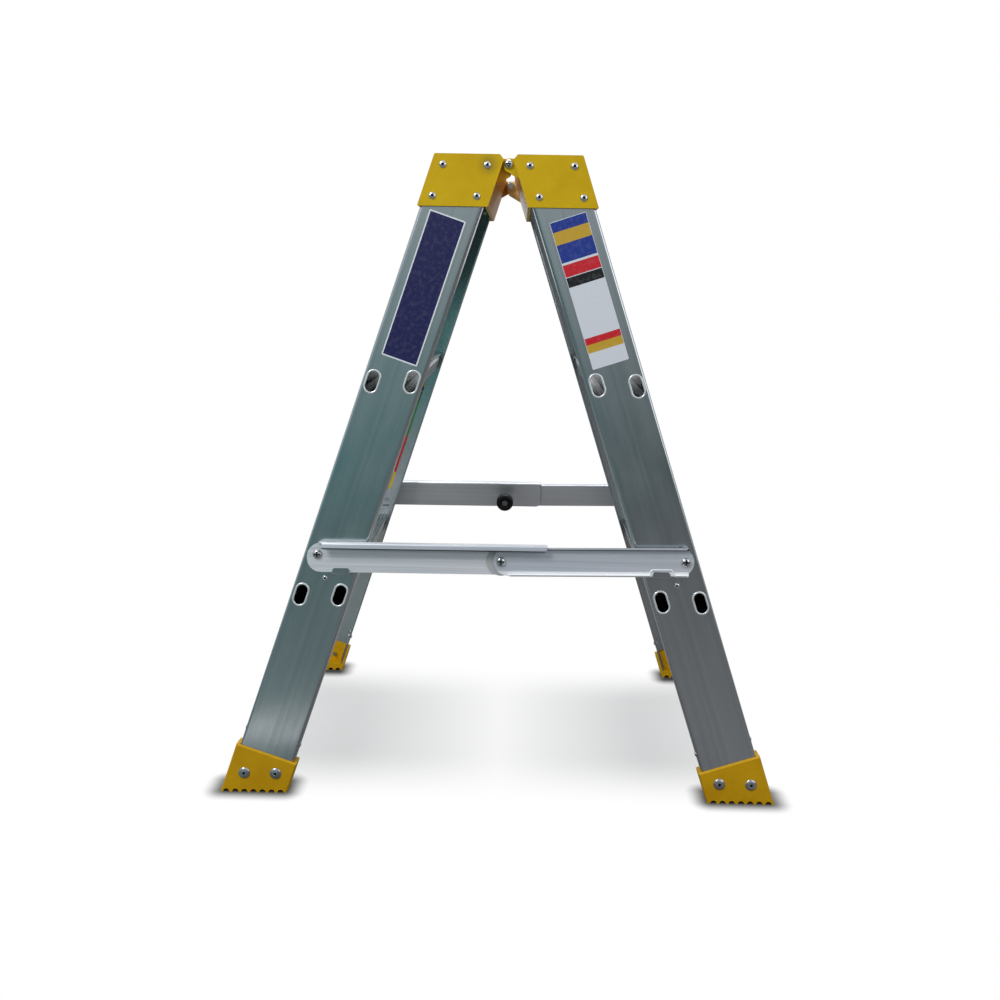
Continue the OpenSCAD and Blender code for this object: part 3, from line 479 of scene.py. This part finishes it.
def dress(node, finish, width, axes=None):
    made = softened(frame["nodes"][node].data, width)
    if axes:
        lay_grain(made, axes)
    made.materials.append(finish)
    piece = bpy.data.objects.new(node + "_dressed", made)
    scene.collection.objects.link(piece)
    weighted = piece.modifiers.new("weighted_normals", "WEIGHTED_NORMAL")
    weighted.keep_sharp = True
    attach(piece, body_of[node])
    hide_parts(node)
    return piece


print("edges over", round(math.degrees(SHARP)), "degrees are softened")

# %% [markdown]
# ## Stiles and treads
# The stile's grain runs along its length, so its axes are turned a quarter to put the length first. The treads run
# from web to web, along the model's second axis, and the same quarter turn serves them.

# %% Stiles and treads
LENGTH_FIRST = Matrix.Rotation(QUARTER, 4, "Z")
SIDES, ENDS = {"left": LEFT, "right": RIGHT}, {"near": NEAR, "far": FAR}

for side in SIDES:
    for end in ENDS:
        axes = stile_axes(SIDES[side], ENDS[end]) @ LENGTH_FIRST
        dress(f"{side}_{end}_stile", stile_aluminium, 0.22 * MM, axes)
    for level in ("upper", "lower"):
        dress(f"{side}_{level}_tread", tread_aluminium, 0.3 * MM, LENGTH_FIRST)
print("stiles and treads are dressed")

# %% [markdown]
# ## Caps and feet
# These are thick mouldings, so their edges are rounder than those of the metal.

# %% Caps and feet
for side in SIDES:
    dress(f"{side}_cap", cap_yellow, 0.6 * MM)
    for end in ENDS:
        dress(f"{side}_{end}_foot", foot_yellow, 0.7 * MM)
print("caps and feet are dressed")

# %% [markdown]
# ## Spreader bars
# The bars run almost level from stile to stile. Their grain lies along the row, so the web's own axes serve.

# %% Spreader bars
BAR_FINISH = {"left": bar_bright, "right": bar_grey}

for end in ENDS:
    for side in SIDES:
        dress(f"{end}_{side}_bar", BAR_FINISH[side], 0.3 * MM, web_axes(RIGHT, ENDS[end]))
    dress(f"{end}_knob", knob_black, 0)
    dress(f"{end}_knob_stem", stem_zinc, 0.25 * MM)
    dress(f"{end}_mid_screw", screw_zinc, 0.12 * MM)
    dress(f"{end}_left_screw", screw_zinc, 0.12 * MM)
    dress(f"{end}_mid_washer", disc_nylon, 0.2 * MM)
    dress(f"{end}_left_spacer", spacer_nylon, 0.3 * MM)
print("bars are dressed")

# %% [markdown]
# ## Rivets, bolts and nuts
# Only the rims of their holes and the corners of the nuts need softening.

# %% Rivets, bolts and nuts
RIVET_FINISH = {"cap": rivet_bright, "foot": rivet_grey, "flange": rivet_grey, "tab": rivet_bright}

for side in SIDES:
    for kind, finish in RIVET_FINISH.items():
        dress(f"{side}_{kind}_rivets", finish, 0.15 * MM)
for node, width in (("hinge_bolts", 0.12), ("hinge_washers", 0.2), ("hinge_nuts", 0.3), ("left_pivot_nuts", 0.3),
                    ("right_pivot_screws", 0.12), ("right_pivot_nuts", 0.3)):
    dress(node, screw_zinc, width * MM)
dress("right_pivot_spacers", spacer_nylon, 0.3 * MM)
print("fasteners are dressed")

# %% [markdown]
# ## Bands on the bars
# A bent bar doesn't look the same all over, and its bands carry painted light and shade. The brushed face is pale,
# and the lip over it is painted a shade darker. Painted shade darkens the hem and the cut end of a left bar and the
# corner under a right bar's top flange. A painted highlight brightens the low bend of a right bar, and painted shade
# darkens the backs and the front edge of a right bar's bottom flange. The dressed copy is cut along those lines with
# bisect_plane, and each band gets its own finish by where it lies and by the way it faces.

# %% Bands on the bars
BAR_TILT, LEFT_TILT, MID_V = math.radians(0.959), math.radians(0.35), -513.308 * MM
LIP_OUT, HEM, LAP_END = 15.4 * MM, 15.9 * MM, 60.5 * MM
FLANGE_OUT, LOW_BEND, TOP_CORNER = 13.9 * MM, -13.2 * MM, 15.2 * MM
CUT_MERGE, LOOKS_BACK, LOOKS_OUT = 0.001 * MM, -0.5, 0.3


def bar_axes(side, end):
    tilt = LEFT_TILT if side == "left" else BAR_TILT
    return web_axes(RIGHT, ENDS[end]) @ Matrix.Translation((0, MID_V, 0)) @ Matrix.Rotation(tilt, 4, "Z")


def cut_along(mesh, axes, levels):
    shaping = bmesh.new()
    shaping.from_mesh(mesh)
    for level in levels:
        whole = shaping.verts[:] + shaping.edges[:] + shaping.faces[:]
        bmesh.ops.bisect_plane(shaping, geom=whole, dist=CUT_MERGE,
                               plane_co=axes @ Vector((0, level, 0)), plane_no=axes.to_3x3() @ Vector((0, 1, 0)))
    shaping.to_mesh(mesh)
    shaping.free()


# Band indices for the bar finishes, most of them painted light and shade.
BRUSHED, DEEP_SHADE, MID_SHADE, HIGHLIGHT, SHADED_LIP = range(5)
for end in ENDS:
    for side in SIDES:
        bar = bpy.data.objects[f"{end}_{side}_bar_dressed"].data
        for finish in (deep_shade_aluminium, mid_shade_aluminium, highlight_aluminium, bar_grey):
            bar.materials.append(finish)
        axes = bar_axes(side, end)
        cut_along(bar, axes, [HEM] if side == "left" else [LOW_BEND, TOP_CORNER])
        inverse, outward = axes.inverted(), axes.to_3x3() @ Vector((0, 0, 1))
        for face in bar.polygons:
            spot, facing = inverse @ face.center, face.normal.dot(outward)
            if spot.x > LAP_END and side == "left":
                face.material_index = DEEP_SHADE
            elif facing < LOOKS_BACK:
                face.material_index = MID_SHADE
            elif side == "left":
                on_lip = SHADED_LIP if spot.y > HEM else DEEP_SHADE
                face.material_index = on_lip if spot.z > LIP_OUT else BRUSHED
            elif spot.z > FLANGE_OUT and spot.y < 0:
                face.material_index = MID_SHADE
            elif spot.y < LOW_BEND:
                face.material_index = HIGHLIGHT
            elif spot.y > TOP_CORNER and spot.z < FLANGE_OUT and facing > LOOKS_OUT:
                face.material_index = DEEP_SHADE
    print(end, "bars have their bands")

# %% [markdown]
# ## Rims of the tread tubes
# The ends of the tubes are flared over the webs, and their rims carry a painted highlight. They are the only faces of
# a tread that lie outside the webs. The bores are painted dark as painted shade, darkest at their mouths, so their
# finish fades with the depth under the web's plane. A line of sight out of a bore's wall meets the other wall: a ray
# cast straight out of each face finds them.

# %% Rims of the tread tubes
RAY_START, BORE_LEAST, BORE_MOST = 0.1 * MM, 13 * MM, 29 * MM
MOUTH_START, MOUTH_END, MOUTH_SHADE = 7 * MM, 2.5 * MM, paint(46, 52, 53)
FLARE_LEAST, ENDWISE, RIM_FINISH, BORE_FINISH = 0.05 * MM, 0.3, 1, 2


def base_tone(material):
    socket = material.node_tree.nodes["Principled BSDF"].inputs["Base Color"]
    return material.node_tree, socket, socket.links[0].from_socket


far_web = web_axes(RIGHT, FAR)
outward = far_web.to_3x3() @ Vector((0, 0, 1))
tree, socket, tone = base_tone(bore_shade_aluminium)
spot = add_node(tree, "ShaderNodeTexCoord").outputs["Object"]
folded = add_node(tree, "ShaderNodeVectorMath", {0: spot}, operation="ABSOLUTE")
along = add_node(tree, "ShaderNodeVectorMath", {0: folded.outputs[0], 1: outward}, operation="DOT_PRODUCT")
web_face = outward.dot(far_web.translation)
mouth = eased(tree, along.outputs["Value"], web_face - MOUTH_START, web_face - MOUTH_END)
tree.links.new(blended(tree, mouth, tone, MOUTH_SHADE), socket)
webs = [web_axes(RIGHT, ENDS[end]).inverted() for end in ENDS]

for side in SIDES:
    for level in ("upper", "lower"):
        tread = bpy.data.objects[f"{side}_{level}_tread_dressed"].data
        tread.materials.append(rim_highlight_aluminium)
        tread.materials.append(bore_shade_aluminium)
        walls = BVHTree.FromPolygons([vert.co for vert in tread.vertices], [face.vertices for face in tread.polygons])
        for face in tread.polygons:
            gap = walls.ray_cast(face.center + face.normal * RAY_START, face.normal, BORE_MOST)[3]
            if gap and gap > BORE_LEAST and abs(face.normal.y) < ENDWISE:
                face.material_index = BORE_FINISH
        flared = [face for face in tread.polygons if any((web @ face.center).z > FLARE_LEAST for web in webs)]
        for face in flared:
            face.material_index = RIM_FINISH
        print(side, level, "tread:", len(flared), "flared faces")

# %% [markdown]
# ## Insides of the channels and sockets
# The inside of a left stile carries a painted reflection of the other frame, with painted shade under the caps:
# bright near the floor, green half way up and dark under the caps. The finish fades by height through those three
# tones. The sockets of the feet are painted a little brighter than the outside, as painted light.

# %% Insides of the channels and sockets
GREEN_START, GREEN_END, SHADE_START, SHADE_END = 0.34, 0.54, 0.6, 0.72
LOW_REFLECTION, GREEN_REFLECTION = paint(232, 236, 238), paint(164, 212, 210)
WEB_BACK, WEB_FRONT, WEB_INWARD, SOCKET_INWARD = -4 * MM, -1 * MM, 0.7, 0.5

tree, socket, shade = base_tone(reflection_shade_aluminium)
spot = add_node(tree, "ShaderNodeTexCoord").outputs["Object"]
height = add_node(tree, "ShaderNodeSeparateXYZ", {0: spot}).outputs["Z"]
tone = blended(tree, eased(tree, height, GREEN_START, GREEN_END), LOW_REFLECTION, GREEN_REFLECTION)
tree.links.new(blended(tree, eased(tree, height, SHADE_START, SHADE_END), tone, shade), socket)

for end in ENDS:
    web = web_axes(LEFT, ENDS[end])
    inverse, inward = web.inverted(), web.to_3x3() @ Vector((0, 0, -1))
    stile = bpy.data.objects[f"left_{end}_stile_dressed"].data
    stile.materials.append(reflection_shade_aluminium)
    for face in stile.polygons:
        if face.normal.dot(inward) > WEB_INWARD and WEB_BACK < (inverse @ face.center).z < WEB_FRONT:
            face.material_index = 1
    for side in SIDES:
        foot = bpy.data.objects[f"{side}_{end}_foot_dressed"].data
        foot.materials.append(socket_painted_light)
        for face in foot.polygons:
            if face.normal.dot(inward) > SOCKET_INWARD:
                face.material_index = 1
    print(end, "channel and sockets have their finish")

# %% [markdown]
# ## Shaded sides of the caps
# The sides of the caps that face each other carry painted shade and light: the left one is painted browner than the
# smooth faces outside, and the right one is painted pale. They are the faces that point to the hinge, and those of
# the hinge lugs that look inward.

# %% Shaded sides of the caps
LUG_REACH, LUG_INSIDE, TO_HINGE, ENDWARD = 20 * MM, 158 * MM, -0.6, 0.5
SKIRT_FINISH = {"left": left_skirt_painted_shade, "right": right_skirt_painted_light}

for side in SIDES:
    cap = bpy.data.objects[f"{side}_cap_dressed"].data
    cap.materials.append(SKIRT_FINISH[side])
    painted = [face for face in cap.polygons if face.normal.x * SIDES[side] < TO_HINGE
               or (abs(face.center.x) < LUG_REACH and abs(face.center.y) < LUG_INSIDE
                   and abs(face.normal.y) > ENDWARD)]
    for face in painted:
        face.material_index = 1
    print(side, "cap:", len(painted), "stained faces")

# %% [markdown]
# ## Dark recesses
# The cross in a screw head and the hole in a rivet get hardly any light, and they are painted dark as painted shade.
# Every screw and rivet is round, so the mean of its points lies on its axis. The faces that are close to that axis
# and look sideways or lie deep are the recess.

# %% Dark recesses
SIDEWAYS, DEEPEST = 0.5, 4


def islands(shaping):
    left = set(shaping.verts)
    while left:
        found, edge_of = set(), [left.pop()]
        while edge_of:
            vert = edge_of.pop()
            found.add(vert)
            for edge in vert.link_edges:
                other = edge.other_vert(vert)
                if other in left:
                    left.discard(other)
                    edge_of.append(other)
        yield found


def darken(node, axis_at, radius, deep, finish):
    mesh = bpy.data.objects[node + "_dressed"].data
    mesh.materials.append(finish)
    shaping = bmesh.new()
    shaping.from_mesh(mesh)
    count = 0
    for found in islands(shaping):
        middle = sum((vert.co for vert in found), Vector()) / len(found)
        axis = axis_at(middle)
        top = max((vert.co - middle).dot(axis) for vert in found)
        for face in {face for vert in found for face in vert.link_faces}:
            offset = face.calc_center_median() - middle
            depth, facing = top - offset.dot(axis), face.normal.dot(axis)
            across = (offset - axis * offset.dot(axis)).length
            if across < radius and depth < DEEPEST * deep and (depth > deep or facing < SIDEWAYS):
                face.material_index = 1
                count += 1
    shaping.to_mesh(mesh)
    shaping.free()
    print(node, "dark faces:", count)


def web_facing(spot):
    return (web_axes(RIGHT, NEAR if spot.y < 0 else FAR).to_3x3() @ Vector((0, 0, 1))).normalized()


def flange_facing(spot):
    side, end = (LEFT if spot.x < 0 else RIGHT), (NEAR if spot.y < 0 else FAR)
    axes = stile_axes(side, end)
    outer = 1 if (axes.inverted() @ spot).x > MIDDLE else -1
    return (axes.to_3x3() @ Vector((outer, 0, 0))).normalized()


def hinge_facing(spot):
    return Vector((0, -1 if spot.y < 0 else 1, 0))


for side in SIDES:
    darken(f"{side}_cap_rivets", web_facing, 1.78 * MM, 0.7 * MM, pin_painted_shade)
    darken(f"{side}_foot_rivets", web_facing, 1.92 * MM, 0.8 * MM, pin_painted_shade)
    darken(f"{side}_tab_rivets", web_facing, 1.34 * MM, 0.5 * MM, pin_painted_shade)
    darken(f"{side}_flange_rivets", flange_facing, 1.34 * MM, 0.5 * MM, pin_painted_shade)
for node in ("near_mid_screw", "far_mid_screw", "near_left_screw", "far_left_screw", "right_pivot_screws"):
    darken(node, web_facing, 4.1 * MM, 1.2 * MM, recess_painted_shade)
darken("hinge_bolts", hinge_facing, 3.65 * MM, 1.2 * MM, recess_painted_shade)

# %% [markdown]
# ## Labels
# A label is a printed film with round corners, a fifth of a millimetre thick. A flat grid of one face is scaled to
# its size, its corners are bevelled as points, and the face is extruded outward. The print is a pattern on the
# label's own UV map, from 0 to 1 along both sides.

# %% Labels
FILM, FILM_GAP = 0.2 * MM, 0.03 * MM


def place_mesh(shaping, name, axes, finish, body):
    bmesh.ops.transform(shaping, matrix=axes, verts=shaping.verts)
    bmesh.ops.recalc_face_normals(shaping, faces=shaping.faces)
    made = bpy.data.meshes.new(name)
    shaping.to_mesh(made)
    shaping.free()
    made.shade_smooth()
    made.set_sharp_from_angle(angle=SMOOTH)
    made.materials.append(finish)
    piece = bpy.data.objects.new(name, made)
    scene.collection.objects.link(piece)
    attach(piece, body)
    return piece


def film(name, axes, low, high, corner, finish, body):
    shaping = bmesh.new()
    bmesh.ops.create_grid(shaping, x_segments=1, y_segments=1, size=0.5)
    size = (high[0] - low[0], high[1] - low[1])
    middle = ((low[0] + high[0]) / 2, (low[1] + high[1]) / 2, FILM_GAP)
    bmesh.ops.scale(shaping, vec=(*size, 1), verts=shaping.verts)
    bmesh.ops.translate(shaping, vec=middle, verts=shaping.verts)
    bmesh.ops.bevel(shaping, geom=shaping.verts[:], offset=corner, offset_type="OFFSET", segments=5, profile=0.5,
                    affect="VERTICES", material=-1)
    raised = bmesh.ops.extrude_face_region(shaping, geom=shaping.faces[:])
    lifted = [part for part in raised["geom"] if isinstance(part, bmesh.types.BMVert)]
    bmesh.ops.translate(shaping, vec=(0, 0, FILM), verts=lifted)
    sheet = shaping.loops.layers.uv.new("print")
    for face in shaping.faces:
        for loop in face.loops:
            spot = loop.vert.co
            loop[sheet].uv = ((spot.x - low[0]) / size[0], (high[1] - spot.y) / size[1])
    return place_mesh(shaping, name, axes, finish, body)


def colour_bands(tree, position, ground, bands):
    tone = ground
    for start, stop, colour in bands:
        after = add_node(tree, "ShaderNodeMath", {0: position, 1: start}, operation="GREATER_THAN").outputs[0]
        before = add_node(tree, "ShaderNodeMath", {0: position, 1: stop}, operation="LESS_THAN").outputs[0]
        tone = blended(tree, product(tree, after, before), tone, colour)
    return tone


def printed_film(name, ground, bands, keyline, scuff, scuff_share, inset):
    material, tree, shader = blank_finish(name, 0)
    sheet = add_node(tree, "ShaderNodeUVMap", uv_map="print").outputs[0]
    parts = add_node(tree, "ShaderNodeSeparateXYZ", {0: sheet})
    tone = colour_bands(tree, parts.outputs["Y"], ground, bands)
    wear = stretched_noise(tree, sheet, (9, 30, 1), 6)
    tone = blended(tree, between(tree, wear, 0.5, 0.62, 0, scuff_share), tone, scuff)
    for axis, margin in (("X", inset[0]), ("Y", inset[1])):
        from_middle = add_node(tree, "ShaderNodeMath", {0: parts.outputs[axis], 1: 0.5}, operation="SUBTRACT")
        off = add_node(tree, "ShaderNodeMath", {0: from_middle.outputs[0]}, operation="ABSOLUTE")
        edge = add_node(tree, "ShaderNodeMath", {0: off.outputs[0], 1: 0.5 - margin}, operation="GREATER_THAN")
        tone = blended(tree, edge.outputs[0], tone, keyline)
    tree.links.new(tone, shader.inputs["Base Color"])
    tree.links.new(between(tree, wear, 0.35, 0.7, 0.24, 0.42), shader.inputs["Roughness"])
    return material


PAPER, BLUE, GOLD, RED, BLACK = (paint(*tone) for tone in ((214, 218, 226), (28, 52, 140), (196, 158, 44),
                                                           (200, 26, 40), (16, 16, 18)))
STRIP_YELLOW, STRIP_BLACK, STRIP_GREEN, STRIP_RED = (paint(*tone) for tone in (
    (214, 180, 30), (20, 20, 20), (46, 128, 62), (188, 34, 36)))
navy_film = printed_film("navy_film", paint(24, 25, 78), [], paint(226, 230, 236), paint(84, 82, 112), 0.24,
                         (0.034, 0.009))
band_film = printed_film("band_film", PAPER, [
    (0, 0.07, BLUE), (0.07, 0.155, GOLD), (0.155, 0.275, BLUE), (0.29, 0.37, RED), (0.375, 0.44, BLACK),
    (0.79, 0.835, RED), (0.835, 0.89, GOLD),
], PAPER, paint(198, 203, 212), 0.05, (0.012, 0.004))
strip_film = printed_film("strip_film", STRIP_YELLOW, [
    (0.03, 0.07, STRIP_BLACK), (0.0765, 0.49, STRIP_GREEN), (0.49, 0.837, STRIP_RED),
], STRIP_YELLOW, paint(120, 120, 110), 0.25, (0, 0))

LABEL_LOW, LABEL_HIGH = (28 * MM, -282 * MM), (77 * MM, -86 * MM)
STRIP_LOW, STRIP_HIGH, WALL = (-39 * MM, -540 * MM), (-30 * MM, -344 * MM), 2.2 * MM
film("left_label", stile_axes(LEFT, NEAR), LABEL_LOW, LABEL_HIGH, 1.5 * MM, navy_film,
     body_of["left_near_stile"])
film("right_label", stile_axes(RIGHT, NEAR), LABEL_LOW, LABEL_HIGH, 1 * MM, band_film,
     body_of["right_near_stile"])
inner_web = stile_axes(LEFT, FAR) @ Matrix.Translation((0, 0, -WALL)) @ Matrix.Rotation(math.pi, 4, "Y")
film("angle_strip", inner_web, STRIP_LOW, STRIP_HIGH, 0.6 * MM, strip_film,
     body_of["left_far_stile"])
print("labels:", navy_film.name, band_film.name, strip_film.name)

# %% [markdown]
# ## Rivet pins
# A blind rivet is set by pulling a steel pin through it until the pin snaps, and the broken stub stays in the hole.
# Each stub is a short cylinder whose upper rim is bevelled, a little below the top of the rivet's dome.


# %% Rivet pins
def web_place(side, end, across, height):
    up = (height - HINGE_HEIGHT) / math.cos(SPLAY)
    along = across / math.cos(LEAN) - up * math.tan(LEAN)
    return web_axes(side, end) @ Matrix.Translation((along, up, 0))


def pin(shaping, axes, radius, low, high):
    made = bmesh.ops.create_cone(shaping, cap_ends=True, segments=16, radius1=radius, radius2=radius,
                                 depth=high - low)
    rim = {edge for vert in made["verts"] if vert.co.z > 0 for edge in vert.link_edges
           if all(end.co.z > 0 for end in edge.verts)}
    bevelled = bmesh.ops.bevel(shaping, geom=list(rim), offset=radius * 0.35, offset_type="OFFSET", segments=2,
                               profile=0.5, affect="EDGES", clamp_overlap=True, material=-1)
    moved = {vert for vert in made["verts"] if vert.is_valid} | set(bevelled["verts"])
    whole = axes @ Matrix.Translation((0, 0, (low + high) / 2))
    bmesh.ops.transform(shaping, matrix=whole, verts=list(moved))


CAP_REACH, CAP_DROPS, FOOT_REACH, FOOT_RISE = 27.05 * MM, (2 * MM, 40.8 * MM), 20.4 * MM, 27.3 * MM
CAP_PLACES = [(MIDDLE + side * CAP_REACH, HINGE_HEIGHT - drop) for side in (-1, 1) for drop in CAP_DROPS]
FOOT_PLACES = [(MIDDLE + side * FOOT_REACH, FOOT_RISE) for side in (-1, 1)]
PINS = {"cap": (CAP_PLACES, 1.6, 3.05, 3.5), "foot": (FOOT_PLACES, 1.75, 3.05, 4)}
for side in SIDES:
    for kind, (places, radius, low, high) in PINS.items():
        for end in ENDS:
            shaping = bmesh.new()
            for across, height in places:
                pin(shaping, web_place(SIDES[side], ENDS[end], across, height), radius * MM, low * MM, high * MM)
            # The stubs take the near-black finish of painted shade in the holes.
            place_mesh(shaping, f"{side}_{end}_{kind}_pins", Matrix.Identity(4), pin_painted_shade,
                       body_of[f"{side}_{kind}_rivets"])
print("pins:", list(PINS))

# %% [markdown]
# ## Rims of the notches
# Each right bar has a notch in its lower edge for the tab on the stile, and the metal round the notch is pressed into
# a raised bead. The bead is a round bar bent twice: a circle is extruded up, spun round the first corner, extruded
# across, spun round the second and extruded down.

# %% Rims of the notches
RIGHT_BAR_FACE, RIM = 8.35 * MM, 0.9 * MM
NOTCH_LEFT, NOTCH_RIGHT, NOTCH_TOP, NOTCH_LOW, BEND = 197.8 * MM, 228.6 * MM, -10.4 * MM, -18.6 * MM, 4.5 * MM


def run_on(shaping, rim, step):
    pulled = bmesh.ops.extrude_edge_only(shaping, edges=rim)
    verts = [part for part in pulled["geom"] if isinstance(part, bmesh.types.BMVert)]
    bmesh.ops.translate(shaping, vec=step, verts=verts)
    return [part for part in pulled["geom"] if isinstance(part, bmesh.types.BMEdge)]


def bend_round(shaping, rim, centre):
    turned = bmesh.ops.spin(shaping, geom=rim, cent=centre, axis=(0, 0, -1), angle=QUARTER, steps=6)
    return [part for part in turned["geom_last"] if isinstance(part, bmesh.types.BMEdge)]


for end in ENDS:
    shaping = bmesh.new()
    upright = Matrix.Translation((NOTCH_LEFT, NOTCH_LOW, RIGHT_BAR_FACE)) @ Matrix.Rotation(QUARTER, 4, "X")
    bmesh.ops.create_circle(shaping, segments=12, radius=RIM, matrix=upright)
    rim = run_on(shaping, shaping.edges[:], (0, NOTCH_TOP - BEND - NOTCH_LOW, 0))
    rim = bend_round(shaping, rim, (NOTCH_LEFT + BEND, NOTCH_TOP - BEND, RIGHT_BAR_FACE))
    rim = run_on(shaping, rim, (NOTCH_RIGHT - NOTCH_LEFT - 2 * BEND, 0, 0))
    rim = bend_round(shaping, rim, (NOTCH_RIGHT - BEND, NOTCH_TOP - BEND, RIGHT_BAR_FACE))
    run_on(shaping, rim, (0, NOTCH_LOW - NOTCH_TOP + BEND, 0))
    bmesh.ops.holes_fill(shaping, edges=[edge for edge in shaping.edges if edge.is_boundary])
    # The bead takes the finish of the painted highlight.
    rim_piece = place_mesh(shaping, f"{end}_notch_rim", bar_axes("right", end), highlight_aluminium,
                           body_of[f"{end}_right_bar"])
    lay_grain(rim_piece.data, web_axes(RIGHT, ENDS[end]))
print("notch rims are bent round the tabs")
